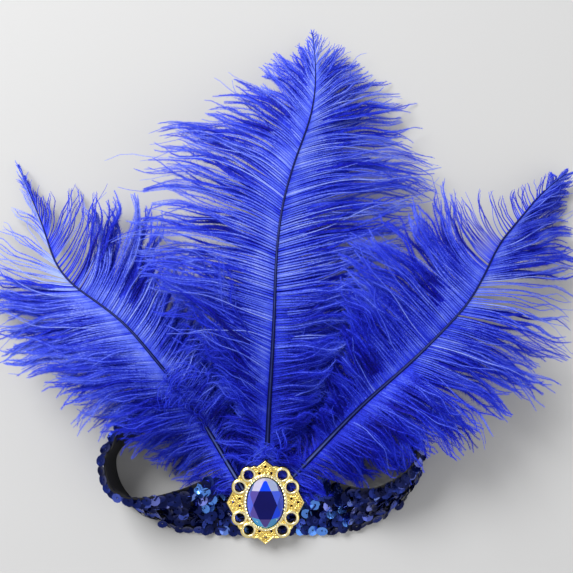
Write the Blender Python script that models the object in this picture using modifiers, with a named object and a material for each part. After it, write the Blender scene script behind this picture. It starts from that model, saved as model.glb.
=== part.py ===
"""Feather headdress: three ostrich plumes on a sequinned head loop with a pierced brooch.

It lies on a table. The front of the loop lies nearly flat with the brooch up, its sides
stand on edge, its back leans outward, and the plumes run back over the loop and droop to
the table. Lengths are in metres, angles in degrees, +X is to the wearer's left as seen
from the front, +Y runs along the middle plume and +Z is up.
"""

import math
from collections import namedtuple

import bmesh
import bpy
from mathutils import Matrix, Vector

CLEARANCE = 0.0003
WELD = 4e-6

# Head loop: straight at the front and back, with elliptical ends
BAND_WIDTH = 0.030
BAND_THICKNESS = 0.0015
LOOP_WIDTH = 0.153
FRONT_FLAT = 0.040
FRONT_DEPTH = 0.036
BACK_DEPTH = 0.021
FLAT_STEPS = 4
END_STEPS = 38
WALL_ROWS = 3

# Sequin layer on the outer face of the loop
TRIM_THICKNESS = 0.0012
TRIM_SETBACK = 0.0018
SEQUIN_RELIEF = 0.0007
SEQUIN_ROWS = 5

# Brooch
SETTING_THICKNESS = 0.0020
SETTING_OVAL_WIDTH = 0.0286
SETTING_OVAL_HEIGHT = 0.0336
SIDE_POINT_REACH = 0.0195
END_POINT_REACH = 0.0213
SIDE_POINT_STEEPNESS = 0.52
END_POINT_STEEPNESS = 0.80
OUTLINE_STEPS = 108
EYELET_HOLE = 0.0046
EYELET_RIM = 0.0019
EYELET_HEIGHT = 0.0007
EYELET_SIDES = 12
END_EYELET_ACROSS = 0.0084
END_EYELET_UP = 0.0139
SIDE_EYELET_ACROSS = 0.0128
SIDE_EYELET_UP = 0.0078
SHOULDER_RADIUS = 0.0027
SHOULDERS = ((0.0113, 0.0115), (0.0054, 0.0157))
COLLAR_SHARE = 0.72
COLLAR_TAPER = 0.84
PIERCING = 0.0012
PIERCING_SIDES = 6
PIERCING_FROM_TIP = 0.0033
PIERCING_FROM_BASE = 0.0066
END_PIERCING_SPREAD = 0.0030
SIDE_PIERCING_SPREAD = 0.0018
STONE_WIDTH = 0.018
STONE_LENGTH = 0.025
STONE_HEIGHT = 0.0055
STONE_SEAT_DEPTH = 0.0010
GIRDLE_SIDES = 24
POCKET_SIDES = 48
BEZEL_WIRE = 0.0017
BEZEL_BEADS = 36
BEAD_SWELL = 0.15
BROOCH_ABOVE_EDGE = 0.0180

# Plumes
QUILL_DIAMETER = 0.0024
SHAFT_TIP_DIAMETER = 0.0013
CENTRE_LENGTH = 0.258
LEFT_LENGTH = 0.224
RIGHT_LENGTH = 0.232
CENTRE_REACH = 0.084
LEFT_REACH = 0.072
RIGHT_REACH = 0.066
BARE_QUILL = 0.030
SEAT_LENGTH = 0.023
SEAT_RELEASE = 0.016
VANE_THICKNESS = 0.0042
LOCK_CROWN = 0.0008
LOCKS_PER_SIDE = 12
SHAFT_POINTS = 30

# Lean of the loop's wall: bearing is counted round the loop from the front, through +X
Lean = namedtuple("Lean", "bearing inward")
WALL_LEAN = (
    Lean(0, 78), Lean(12, 68), Lean(28, 48), Lean(44, 33), Lean(62, 25), Lean(80, 16),
    Lean(96, 6), Lean(116, -4), Lean(138, -22), Lean(160, -44), Lean(180, -58),
    Lean(200, -44), Lean(220, -25), Lean(238, -10), Lean(250, 0), Lean(258, 0),
    Lean(282, 0), Lean(290, 0), Lean(303, 9), Lean(317, 25), Lean(334, 46), Lean(346, 63),
    Lean(354, 73), Lean(360, 78),
)

# A shaft's path: station is a share of its length, heading turns clockwise from +Y,
# and climb is the slope that it takes once it has left its seat under the brooch
Route = namedtuple("Route", "station heading climb")
CENTRE_ROUTE = (
    Route(0.00, 0, 12), Route(0.09, 3, 14), Route(0.14, 3, 26), Route(0.24, 4, 29),
    Route(0.34, 3, 18), Route(0.44, 2, 3), Route(0.54, 7, -6), Route(0.64, 15, -13),
    Route(0.74, 18, -19), Route(0.84, 7, -21), Route(0.93, -2, -15), Route(1.00, -8, -8),
)
LEFT_ROUTE = (
    Route(0.00, -31, 12), Route(0.09, -31, 14), Route(0.16, -30, 25), Route(0.24, -33, 27),
    Route(0.34, -39, 16), Route(0.44, -41, 0), Route(0.54, -53, -10),
    Route(0.62, -54, -16), Route(0.69, -39, -20), Route(0.76, -24, -21),
    Route(0.86, -25, -16), Route(1.00, -26, -6),
)
RIGHT_ROUTE = (
    Route(0.00, 42, 12), Route(0.09, 44, 15), Route(0.16, 43, 27), Route(0.24, 45, 30),
    Route(0.34, 49, 19), Route(0.44, 46, 3), Route(0.54, 43, -6), Route(0.62, 32, -14),
    Route(0.70, 29, -20), Route(0.78, 41, -22), Route(0.88, 42, -19), Route(1.00, 56, -8),
)

# A side of a vane: reach is a share of the plume's longest barb, sweep the angle between
# a barb and the shaft, bend how far a barb turns on its way, and rise its slope at the root
Barb = namedtuple("Barb", "station reach sweep bend rise")
CENTRE_LEFT = (
    Barb(0.00, 0.20, 60, 14, 4), Barb(0.08, 0.32, 66, 18, 6), Barb(0.16, 0.50, 70, 22, 7),
    Barb(0.26, 0.82, 70, 28, 8), Barb(0.36, 0.94, 68, 34, 8), Barb(0.45, 1.00, 68, 36, 8),
    Barb(0.54, 0.90, 70, 36, 7), Barb(0.66, 0.70, 72, 30, 6), Barb(0.76, 0.56, 66, 24, 4),
    Barb(0.84, 0.38, 58, 16, 3), Barb(0.92, 0.25, 38, 8, 1), Barb(1.00, 0.16, 20, 0, 0),
)
CENTRE_RIGHT = (
    Barb(0.00, 0.20, 60, 14, -3), Barb(0.08, 0.32, 66, 18, -5), Barb(0.16, 0.48, 68, 22, -7),
    Barb(0.26, 0.78, 68, 26, -9), Barb(0.36, 0.90, 65, 30, -9), Barb(0.48, 0.98, 66, 34, -8),
    Barb(0.58, 0.90, 59, 32, -7), Barb(0.66, 0.86, 54, 28, -6), Barb(0.74, 0.68, 43, 22, -5),
    Barb(0.82, 0.44, 38, 16, -3), Barb(0.92, 0.26, 34, 8, -2), Barb(1.00, 0.16, 20, 0, 0),
)
LEFT_LEFT = (
    Barb(0.00, 0.34, 88, 30, -4), Barb(0.08, 0.48, 84, 36, 0), Barb(0.15, 0.47, 74, 34, 4),
    Barb(0.22, 0.74, 60, 26, 9), Barb(0.36, 1.00, 56, 20, 4), Barb(0.48, 0.90, 46, 20, 0),
    Barb(0.58, 0.72, 40, 16, 0), Barb(0.66, 0.54, 36, 6, 0), Barb(0.76, 0.40, 28, -4, 0),
    Barb(0.86, 0.26, 22, -4, 0), Barb(1.00, 0.12, 8, 0, 0),
)
LEFT_RIGHT = (
    Barb(0.00, 0.20, 66, 10, -4), Barb(0.10, 0.36, 72, 6, -5), Barb(0.24, 0.56, 70, -4, -6),
    Barb(0.38, 0.74, 66, -24, -6), Barb(0.50, 0.92, 62, -46, -5), Barb(0.58, 0.78, 62, -48, -4),
    Barb(0.66, 0.66, 54, -40, -3), Barb(0.72, 0.58, 44, -28, -2), Barb(0.80, 0.42, 30, -14, -1),
    Barb(0.90, 0.22, 20, -6, 0), Barb(1.00, 0.12, 8, 0, 0),
)
RIGHT_LEFT = (
    Barb(0.00, 0.18, 80, 10, 8), Barb(0.10, 0.30, 82, 8, 10), Barb(0.20, 0.56, 78, 2, 12),
    Barb(0.32, 0.90, 73, -8, 12), Barb(0.44, 1.00, 76, -20, 10), Barb(0.54, 0.96, 52, -54, 7),
    Barb(0.62, 0.92, 46, -54, 4), Barb(0.70, 0.56, 46, -40, 3), Barb(0.80, 0.38, 60, -24, 2),
    Barb(0.90, 0.26, 48, -14, 1), Barb(1.00, 0.12, 14, 0, 0),
)
RIGHT_RIGHT = (
    Barb(0.00, 0.34, 92, 22, 0), Barb(0.08, 0.52, 84, 26, 4), Barb(0.15, 0.54, 80, 28, 8),
    Barb(0.22, 0.72, 80, 28, 9), Barb(0.34, 0.82, 77, 28, 2), Barb(0.46, 0.82, 74, 30, -2),
    Barb(0.56, 0.88, 80, 34, -4), Barb(0.66, 0.80, 78, 30, -4), Barb(0.76, 0.66, 52, 20, -4),
    Barb(0.86, 0.50, 28, 8, -3), Barb(0.94, 0.32, 16, 2, -2), Barb(1.00, 0.14, 10, 0, 0),
)

# Across a lock, from the shaft to the tip: how wide, how thick and how raised it is
Across = namedtuple("Across", "share width thickness crown")
LOCK_SHAPE = (
    Across(0.00, 1.00, 0.38, 0.0), Across(0.28, 1.00, 0.75, 0.8), Across(0.55, 1.00, 1.00, 0.9),
    Across(0.80, 0.62, 0.70, 0.2), Across(1.00, 0.16, 0.36, 0.0),
)
JOINED_ROWS = 3
BARB_DROOP = 0.14
TIP_THINNING = 0.45

# Where each quill ends under the brooch, from the brooch's middle
QUILL_SPACING = 0.0078
RIGHT_QUILL_RISE = 0.0055

Plume = namedtuple("Plume", "name length reach end rise route left right")
PLUMES = (
    Plume("plume_left", LEFT_LENGTH, LEFT_REACH, -QUILL_SPACING, 0.0, LEFT_ROUTE,
          LEFT_LEFT, LEFT_RIGHT),
    Plume("plume_centre", CENTRE_LENGTH, CENTRE_REACH, 0.0, 0.0, CENTRE_ROUTE,
          CENTRE_LEFT, CENTRE_RIGHT),
    Plume("plume_right", RIGHT_LENGTH, RIGHT_REACH, QUILL_SPACING, RIGHT_QUILL_RISE,
          RIGHT_ROUTE, RIGHT_LEFT, RIGHT_RIGHT),
)

# Facets of the stone: angle round it, then its share of the half width at the table
# and at the girdle
Facet = namedtuple("Facet", "count turn table girdle")
CROWN = (Facet(6, 30, 0.57, 1.20), Facet(6, 0, 0.655, 0.985), Facet(12, 15, 0.80, 0.985))
GIRDLE_SHARE = 0.30

# Colours and finishes
Finish = namedtuple("Finish", "colour roughness metallic")
BLACK_ELASTIC = Finish((0.006, 0.006, 0.012), 0.80, 0.0)
NAVY_SEQUIN = Finish((0.010, 0.020, 0.160), 0.22, 0.35)
GOLD = Finish((0.860, 0.600, 0.180), 0.30, 1.0)
BLUE_STONE = Finish((0.012, 0.030, 0.520), 0.05, 0.0)
BLUE_FEATHER = Finish((0.035, 0.060, 0.640), 0.60, 0.0)


def clear_scene():
    for thing in list(bpy.data.objects):
        bpy.data.objects.remove(thing, do_unlink=True)


def new_collection(name):
    collection = bpy.data.collections.new(name)
    bpy.context.scene.collection.children.link(collection)
    return collection


def material(name, finish):
    made = bpy.data.materials.new(name)
    made.use_nodes = True
    shader = made.node_tree.nodes["Principled BSDF"]
    shader.inputs["Base Color"].default_value = (*finish.colour, 1.0)
    shader.inputs["Roughness"].default_value = finish.roughness
    shader.inputs["Metallic"].default_value = finish.metallic
    return made


def read_table(rows, key, column, at):
    """Smoothly interpolates one column of a table between its rows."""
    keys = [getattr(row, key) for row in rows]
    values = [getattr(row, column) for row in rows]
    last = len(rows) - 1
    at = min(max(at, keys[0]), keys[last])
    i = max(k for k in range(last) if keys[k] <= at)
    span = keys[i + 1] - keys[i]
    before, after = max(i - 1, 0), min(i + 2, last)
    slope_in = (values[i + 1] - values[before]) / (keys[i + 1] - keys[before])
    slope_out = (values[after] - values[i]) / (keys[after] - keys[i])
    t = (at - keys[i]) / span
    return (
        values[i] * (2 * t**3 - 3 * t**2 + 1)
        + values[i + 1] * (3 * t**2 - 2 * t**3)
        + slope_in * span * (t**3 - 2 * t**2 + t)
        + slope_out * span * (t**3 - t**2)
    )


def mesh_object(name, bm, collection, finish_material):
    bmesh.ops.recalc_face_normals(bm, faces=bm.faces)
    mesh = bpy.data.meshes.new(name)
    bm.to_mesh(mesh)
    bm.free()
    made = bpy.data.objects.new(name, mesh)
    collection.objects.link(made)
    mesh.materials.append(finish_material)
    return made


def as_mesh(made):
    """Replaces an object's mesh or curve by what its modifiers make of it."""
    depsgraph = bpy.context.evaluated_depsgraph_get()
    mesh = bpy.data.meshes.new_from_object(made.evaluated_get(depsgraph))
    name, placed = made.name, made.matrix_world.copy()
    collection = made.users_collection[0]
    bpy.data.objects.remove(made, do_unlink=True)
    plain = bpy.data.objects.new(name, mesh)
    collection.objects.link(plain)
    plain.matrix_world = placed
    return plain


def weld(made):
    """Merges points closer than WELD and turns every face outward."""
    bm = bmesh.new()
    bm.from_mesh(made.data)
    bmesh.ops.remove_doubles(bm, verts=bm.verts, dist=WELD)
    bmesh.ops.dissolve_degenerate(bm, edges=bm.edges, dist=WELD)
    bmesh.ops.recalc_face_normals(bm, faces=bm.faces)
    bm.to_mesh(made.data)
    bm.free()


def combine(body, tool, operation):
    """Fuses or cuts body with tool, which is then removed."""
    modifier = body.modifiers.new(operation.lower(), "BOOLEAN")
    modifier.operation = operation
    modifier.solver = "EXACT"
    modifier.object = tool
    bpy.context.view_layer.update()
    made = as_mesh(body)
    bpy.data.objects.remove(tool, do_unlink=True)
    weld(made)
    return made


# Head loop


Station = namedtuple("Station", "foot inward bearing")


def loop_outline():
    """Feet of the loop's inner face with their bearings, once round from the front."""
    end_reach = (LOOP_WIDTH - FRONT_FLAT) / 2
    middle = FRONT_DEPTH - BROOCH_ABOVE_EDGE
    outline = []
    for i in range(FLAT_STEPS):
        outline.append((FRONT_FLAT * (i / FLAT_STEPS - 0.5), middle - FRONT_DEPTH, 0.0))
    for i in range(END_STEPS):
        turn = math.pi * i / END_STEPS
        depth = FRONT_DEPTH if turn < math.pi / 2 else BACK_DEPTH
        x = FRONT_FLAT / 2 + end_reach * math.sin(turn)
        outline.append((x, middle - depth * math.cos(turn), math.degrees(turn)))
    for i in range(FLAT_STEPS):
        outline.append((FRONT_FLAT * (0.5 - i / FLAT_STEPS), middle + BACK_DEPTH, 180.0))
    for i in range(END_STEPS):
        turn = math.pi * (1 + i / END_STEPS)
        depth = BACK_DEPTH if turn < 1.5 * math.pi else FRONT_DEPTH
        x = -FRONT_FLAT / 2 + end_reach * math.sin(turn)
        outline.append((x, middle - depth * math.cos(turn), math.degrees(turn)))
    return outline


def loop_stations():
    outline = loop_outline()
    stations = []
    for i, (x, y, bearing) in enumerate(outline):
        before = outline[i - 1]
        after = outline[(i + 1) % len(outline)]
        along = Vector((after[0] - before[0], after[1] - before[1], 0)).normalized()
        stations.append(Station(Vector((x, y, 0)), Vector((-along.y, along.x, 0)), bearing))
    return stations


def wall_axes(inward, bearing):
    """Direction up the wall and out of its outer face, and how far its foot is lifted."""
    lean = math.radians(read_table(WALL_LEAN, "bearing", "inward", bearing))
    up = Vector((0, 0, 1))
    across = inward * math.sin(lean) + up * math.cos(lean)
    outward = up * math.sin(lean) - inward * math.cos(lean)
    lift = max(0.0, -math.sin(lean)) * BAND_THICKNESS
    return across, outward, lift


def closed_loft(name, sections, collection, finish_material):
    """One solid through a closed ring of sections that have the same number of points.

    Every quad is split the same way, so that walls lofted on the same stations stay parallel.
    """
    bm = bmesh.new()
    rings = [[bm.verts.new(point) for point in section] for section in sections]
    size = len(sections[0])
    for ring, after in zip(rings, rings[1:] + rings[:1]):
        for j in range(size):
            k = (j + 1) % size
            bm.faces.new((ring[j], ring[k], after[k]))
            bm.faces.new((ring[j], after[k], after[j]))
    return mesh_object(name, bm, collection, finish_material)


def make_elastic_band(collection):
    sections = []
    for station in loop_stations():
        across, outward, lift = wall_axes(station.inward, station.bearing)
        foot = station.foot + Vector((0, 0, lift))
        out = outward * BAND_THICKNESS
        rows = [foot + across * (BAND_WIDTH * row / WALL_ROWS) for row in range(WALL_ROWS + 1)]
        sections.append(rows + [point + out for point in reversed(rows)])
    return closed_loft("elastic_band", sections, collection,
                       material("black_elastic", BLACK_ELASTIC))


def make_sequin_trim(collection):
    """The sequin layer, with staggered scales raised on its outer face."""
    back = BAND_THICKNESS + CLEARANCE
    front = back + TRIM_THICKNESS
    sections = []
    for i, station in enumerate(loop_stations()):
        across, outward, lift = wall_axes(station.inward, station.bearing)
        overhang = max(0.0, -outward.z) * (front + SEQUIN_RELIEF) - lift
        low = max(TRIM_SETBACK, overhang / across.z + CLEARANCE)
        high = BAND_WIDTH - TRIM_SETBACK
        foot = station.foot + Vector((0, 0, lift))
        section = []
        for row in range(SEQUIN_ROWS + 1):
            raised = SEQUIN_RELIEF * ((i + row) % 2)
            rise = low + (high - low) * row / SEQUIN_ROWS
            section.append(foot + across * rise + outward * (front + raised))
        for row in range(WALL_ROWS, -1, -1):
            rise = min(max(BAND_WIDTH * row / WALL_ROWS, low), high)
            section.append(foot + across * rise + outward * back)
        sections.append(section)
    return closed_loft("sequin_trim", sections, collection,
                       material("navy_sequin", NAVY_SEQUIN))


def brooch_frame():
    """Placement of the brooch's back: X across, Y up the band, Z out of its face."""
    across, outward, lift = wall_axes(Vector((0, 1, 0)), 0.0)
    foot = Vector((0, -BROOCH_ABOVE_EDGE, lift))
    quill_layer = QUILL_DIAMETER + 2 * CLEARANCE
    stack = BAND_THICKNESS + CLEARANCE + TRIM_THICKNESS + SEQUIN_RELIEF + quill_layer
    middle = foot + across * BROOCH_ABOVE_EDGE + outward * stack
    axes = Matrix((Vector((1, 0, 0)), across, outward)).transposed().to_4x4()
    return Matrix.Translation(middle) @ axes


# Brooch


def in_four_quarters(places):
    return [(sx * x, sy * y) for x, y in places for sx in (-1, 1) for sy in (-1, 1)]


def eyelet_places():
    """Middles of the eight eyelets."""
    by_end = (END_EYELET_ACROSS, END_EYELET_UP)
    by_side = (SIDE_EYELET_ACROSS, SIDE_EYELET_UP)
    return in_four_quarters((by_end, by_side))


def piercing_places():
    """Middles of the small piercings: three in each of the four points."""
    places = []
    for side in (-1, 1):
        places.append((0, side * (END_POINT_REACH - PIERCING_FROM_TIP)))
        places.append((side * (SIDE_POINT_REACH - PIERCING_FROM_TIP), 0))
        end_row = side * (END_POINT_REACH - PIERCING_FROM_BASE)
        side_row = side * (SIDE_POINT_REACH - PIERCING_FROM_BASE)
        for half in (-1, 1):
            places.append((half * END_PIERCING_SPREAD, end_row))
            places.append((side_row, half * SIDE_PIERCING_SPREAD))
    return places


def setting_radius(turn):
    """Distance from the middle to the setting's outline: an oval, its bulges and points."""
    half_width, half_height = SETTING_OVAL_WIDTH / 2, SETTING_OVAL_HEIGHT / 2
    c, s = math.cos(turn), math.sin(turn)
    reach = half_width * half_height / math.hypot(half_height * c, half_width * s)
    bulges = [(x, y, EYELET_HOLE / 2 + EYELET_RIM) for x, y in eyelet_places()]
    bulges += [(x, y, SHOULDER_RADIUS) for x, y in in_four_quarters(SHOULDERS)]
    for x, y, radius in bulges:
        along, aside = x * c + y * s, x * s - y * c
        if along > 0 and abs(aside) < radius:
            reach = max(reach, along + math.sqrt(radius**2 - aside**2))
    # The flanks of a point run down as far as the eyelets beside it
    side_point = SIDE_POINT_REACH / (abs(c) + SIDE_POINT_STEEPNESS * abs(s))
    if side_point * abs(s) < SIDE_EYELET_UP:
        reach = max(reach, side_point)
    end_point = END_POINT_REACH / (abs(s) + END_POINT_STEEPNESS * abs(c))
    if end_point * abs(c) < END_EYELET_ACROSS:
        reach = max(reach, end_point)
    return reach


def flat_plate(name, outline, thickness, collection):
    """A plate from a closed outline in XY, standing on Z = 0."""
    curve = bpy.data.curves.new(name, "CURVE")
    curve.dimensions = "2D"
    curve.fill_mode = "BOTH"
    curve.extrude = thickness / 2
    spline = curve.splines.new("POLY")
    spline.points.add(len(outline) - 1)
    for point, (x, y) in zip(spline.points, outline):
        point.co = (x, y, 0, 1)
    spline.use_cyclic_u = True
    made = bpy.data.objects.new(name, curve)
    collection.objects.link(made)
    bpy.context.view_layer.update()
    plate = as_mesh(made)
    plate.data.transform(Matrix.Translation((0, 0, thickness / 2)))
    weld(plate)
    return plate


def posts(name, places, sides, radius_low, radius_high, low, high, collection):
    """Round posts in one mesh, one at each place."""
    bm = bmesh.new()
    for x, y in places:
        at = Matrix.Translation((x, y, (low + high) / 2))
        bmesh.ops.create_cone(bm, cap_ends=True, segments=sides, radius1=radius_low,
                              radius2=radius_high, depth=high - low, matrix=at)
    mesh = bpy.data.meshes.new(name)
    bm.to_mesh(mesh)
    bm.free()
    made = bpy.data.objects.new(name, mesh)
    collection.objects.link(made)
    return made


def beaded_bezel(collection):
    """An oval wire round the stone whose thickness swells into beads."""
    wire = BEZEL_WIRE / 2
    half_width = STONE_WIDTH / 2 + CLEARANCE + wire
    half_length = STONE_LENGTH / 2 + CLEARANCE + wire
    bpy.ops.mesh.primitive_torus_add(major_segments=3 * BEZEL_BEADS, minor_segments=4,
                                     major_radius=1.0, minor_radius=0.1)
    made = bpy.context.object
    made.name = "bezel"
    for other in list(made.users_collection):
        other.objects.unlink(made)
    collection.objects.link(made)
    for vertex in made.data.vertices:
        x, y, z = vertex.co
        turn = math.atan2(y, x)
        off_ring = math.hypot(x, y) - 1.0
        bead = 1 - BEAD_SWELL + BEAD_SWELL * math.cos(BEZEL_BEADS * turn)
        out = off_ring * wire / 0.1 * bead
        normal = Vector((half_length * math.cos(turn), half_width * math.sin(turn), 0))
        ring = Vector((half_width * math.cos(turn), half_length * math.sin(turn), 0))
        vertex.co = ring + normal.normalized() * out
        vertex.co.z = SETTING_THICKNESS + z * wire / 0.1 * bead
    return made


def stone_pocket(collection):
    """Cutter for the oval recess that the stone sits in."""
    depth = STONE_SEAT_DEPTH
    cutter = posts("stone_pocket", [(0, 0)], POCKET_SIDES, 1.0, 1.0,
                   SETTING_THICKNESS - depth, SETTING_THICKNESS + STONE_HEIGHT, collection)
    for vertex in cutter.data.vertices:
        vertex.co.x *= STONE_WIDTH / 2 + CLEARANCE
        vertex.co.y *= STONE_LENGTH / 2 + CLEARANCE
    return cutter


def make_brooch_setting(collection, cutters):
    turns = [2 * math.pi * (i + 0.5) / OUTLINE_STEPS for i in range(OUTLINE_STEPS)]
    outline = [(setting_radius(t) * math.cos(t), setting_radius(t) * math.sin(t)) for t in turns]
    setting = flat_plate("brooch_setting", outline, SETTING_THICKNESS, collection)
    collar = EYELET_HOLE / 2 + EYELET_RIM * COLLAR_SHARE
    sunk = SETTING_THICKNESS / 2
    eyelets = posts("eyelets", eyelet_places(), EYELET_SIDES + 2, collar,
                    collar * COLLAR_TAPER, sunk, SETTING_THICKNESS + EYELET_HEIGHT, cutters)
    setting = combine(setting, eyelets, "UNION")
    setting = combine(setting, beaded_bezel(cutters), "UNION")
    past = SETTING_THICKNESS
    holes = posts("eyelet_holes", eyelet_places(), EYELET_SIDES, EYELET_HOLE / 2,
                  EYELET_HOLE / 2, -past, 3 * past, cutters)
    setting = combine(setting, holes, "DIFFERENCE")
    piercings = posts("piercings", piercing_places(), PIERCING_SIDES, PIERCING / 2,
                      PIERCING / 2, -past, 3 * past, cutters)
    setting = combine(setting, piercings, "DIFFERENCE")
    setting = combine(setting, stone_pocket(cutters), "DIFFERENCE")
    setting.data.materials.clear()
    setting.data.materials.append(material("gold", GOLD))
    setting.matrix_world = brooch_frame()
    return setting


def make_stone(collection):
    """An oval blank of unit half width, cut by planes and then stretched to size."""
    bm = bmesh.new()
    bmesh.ops.create_cone(bm, cap_ends=True, segments=GIRDLE_SIDES, radius1=1.0,
                          radius2=1.0, depth=1.0, matrix=Matrix.Translation((0, 0, 0.5)))
    for facet in CROWN:
        for i in range(facet.count):
            turn = math.radians(facet.turn + 360 * i / facet.count)
            out = Vector((math.cos(turn), math.sin(turn), 0))
            drop = facet.girdle - facet.table
            normal = (out * (1 - GIRDLE_SHARE) + Vector((0, 0, drop))).normalized()
            geometry = bm.verts[:] + bm.edges[:] + bm.faces[:]
            cut = bmesh.ops.bisect_plane(bm, geom=geometry, plane_no=normal, dist=WELD,
                                         plane_co=out * facet.table + Vector((0, 0, 1)),
                                         clear_outer=True)
            edges = [e for e in cut["geom_cut"] if isinstance(e, bmesh.types.BMEdge)]
            bmesh.ops.contextual_create(bm, geom=edges)
    for vertex in bm.verts:
        vertex.co.x *= STONE_WIDTH / 2
        vertex.co.y *= STONE_LENGTH / 2
        vertex.co.z *= STONE_HEIGHT
    stone = mesh_object("stone", bm, collection, material("blue_stone", BLUE_STONE))
    seat = SETTING_THICKNESS - STONE_SEAT_DEPTH + CLEARANCE
    stone.matrix_world = brooch_frame() @ Matrix.Translation((0, 0, seat))
    return stone


# Plumes


def shaft_path(plume, points):
    """Points along the shaft's middle, each with its heading and slope in degrees."""
    frame = brooch_frame()
    seat_depth = CLEARANCE + QUILL_DIAMETER / 2
    at = frame @ Vector((plume.end, plume.rise, -seat_depth))
    band_slope = math.degrees(math.asin(frame.col[1].z))
    fine = 8
    path = []
    for i in range((points - 1) * fine + 1):
        station = i / ((points - 1) * fine)
        heading = read_table(plume.route, "station", "heading", station)
        climb = read_table(plume.route, "station", "climb", station)
        free = min(1.0, max(0.0, (station * plume.length - SEAT_LENGTH) / SEAT_RELEASE))
        seat_slope = band_slope * math.cos(math.radians(heading))
        slope = seat_slope + (climb - seat_slope) * free**2 * (3 - 2 * free)
        if i % fine == 0:
            path.append((station, at.copy(), heading, slope))
        level = math.cos(math.radians(slope))
        step = Vector((math.sin(math.radians(heading)) * level,
                       math.cos(math.radians(heading)) * level,
                       math.sin(math.radians(slope))))
        at = at + step * plume.length / ((points - 1) * fine)
    return path


def along_path(path, station):
    """Place, heading and slope at a share of the shaft's length."""
    last = len(path) - 1
    i = min(int(station * last), last - 1)
    share = station * last - i
    place = path[i][1].lerp(path[i + 1][1], share)
    heading = path[i][2] + (path[i + 1][2] - path[i][2]) * share
    slope = path[i][3] + (path[i + 1][3] - path[i][3]) * share
    return place, heading, slope


def barb_point(plume, path, rows, side, vane_station, share, half_thickness):
    """A point of the vane, a share of the way from the shaft to the barb's tip."""
    bare_share = BARE_QUILL / plume.length
    station = bare_share + (1 - bare_share) * vane_station
    place, heading, slope = along_path(path, station)
    reach = plume.reach * read_table(rows, "station", "reach", vane_station)
    sweep = read_table(rows, "station", "sweep", vane_station)
    bend = read_table(rows, "station", "bend", vane_station)
    rise = math.radians(read_table(rows, "station", "rise", vane_station))
    turn = sweep + bend * (share - 1) / 2
    aim = math.radians(heading + side * turn)
    out = reach * share
    forward = out * math.cos(math.radians(turn))
    height = out * math.tan(rise) - BARB_DROOP * reach * share**2
    height += forward * math.tan(math.radians(slope))
    point = place + Vector((math.sin(aim) * out, math.cos(aim) * out, height))
    point.z = max(point.z, half_thickness)
    return point


def lock_thickness(vane_station, share):
    """Thickness of the vane, as a share of its greatest."""
    thickness = read_table(LOCK_SHAPE, "share", "thickness", share)
    return thickness * (1 - TIP_THINNING * vane_station**3)


def vane_sheet(plume, path, collection, finish_material):
    """Both sides of the vane as one open sheet, cut into locks along its edges."""
    bm = bmesh.new()
    weights = bm.verts.layers.deform.verify()
    columns = 2 * LOCKS_PER_SIDE + 1

    def station(column):
        return column / (columns - 1)

    def vertex(rows, side, column, share, middle=None, width=1.0):
        weight = lock_thickness(station(column), share)
        half = weight * VANE_THICKNESS / 2
        point = barb_point(plume, path, rows, side, station(column), share, half)
        if middle is not None:
            centre = barb_point(plume, path, rows, side, station(middle), share, half)
            point = centre.lerp(point, width)
        if column % 2:
            point.z += LOCK_CROWN * read_table(LOCK_SHAPE, "share", "crown", share)
        made = bm.verts.new(point)
        made[weights][0] = weight
        return made

    middle_line = [vertex(plume.left, -1, c, 0.0) for c in range(columns)]
    for side, rows in ((-1, plume.left), (1, plume.right)):
        grid = [middle_line]
        for row in LOCK_SHAPE[1:JOINED_ROWS]:
            grid.append([vertex(rows, side, c, row.share) for c in range(columns)])
        quads = []
        for low, high in zip(grid, grid[1:]):
            for c in range(columns - 1):
                quads.append((low[c], low[c + 1], high[c + 1], high[c]))
        for lock in range(LOCKS_PER_SIDE):
            picked = (2 * lock, 2 * lock + 1, 2 * lock + 2)
            low = [grid[-1][c] for c in picked]
            for row in LOCK_SHAPE[JOINED_ROWS:]:
                high = [vertex(rows, side, c, row.share, picked[1], row.width) for c in picked]
                quads.append((low[0], low[1], high[1], high[0]))
                quads.append((low[1], low[2], high[2], high[1]))
                low = high
        for quad in quads:
            bm.faces.new(quad if side < 0 else quad[::-1])
    mesh = bpy.data.meshes.new(plume.name)
    bm.to_mesh(mesh)
    bm.free()
    made = bpy.data.objects.new(plume.name, mesh)
    made.vertex_groups.new(name="thickness")
    collection.objects.link(made)
    mesh.materials.append(finish_material)
    solidify = made.modifiers.new("thickness", "SOLIDIFY")
    solidify.thickness = VANE_THICKNESS
    solidify.offset = 0.0
    solidify.vertex_group = "thickness"
    return as_mesh(made)


def shaft_tube(path, collection):
    """The quill and shaft, tapering to the tip, with closed ends."""
    curve = bpy.data.curves.new("shaft", "CURVE")
    curve.dimensions = "3D"
    curve.twist_mode = "Z_UP"
    curve.bevel_depth = QUILL_DIAMETER / 2
    curve.bevel_resolution = 1
    curve.use_fill_caps = True
    spline = curve.splines.new("POLY")
    spline.points.add(len(path) - 1)
    for point, (station, place, _, _) in zip(spline.points, path):
        point.co = (*place, 1)
        point.radius = 1 + (SHAFT_TIP_DIAMETER / QUILL_DIAMETER - 1) * station
    made = bpy.data.objects.new("shaft", curve)
    collection.objects.link(made)
    bpy.context.view_layer.update()
    tube = as_mesh(made)
    weld(tube)
    return tube


def make_plume(plume, collection, cutters, finish_material):
    path = shaft_path(plume, SHAFT_POINTS)
    vane = vane_sheet(plume, path, collection, finish_material)
    return combine(vane, shaft_tube(path, cutters), "UNION")


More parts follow.
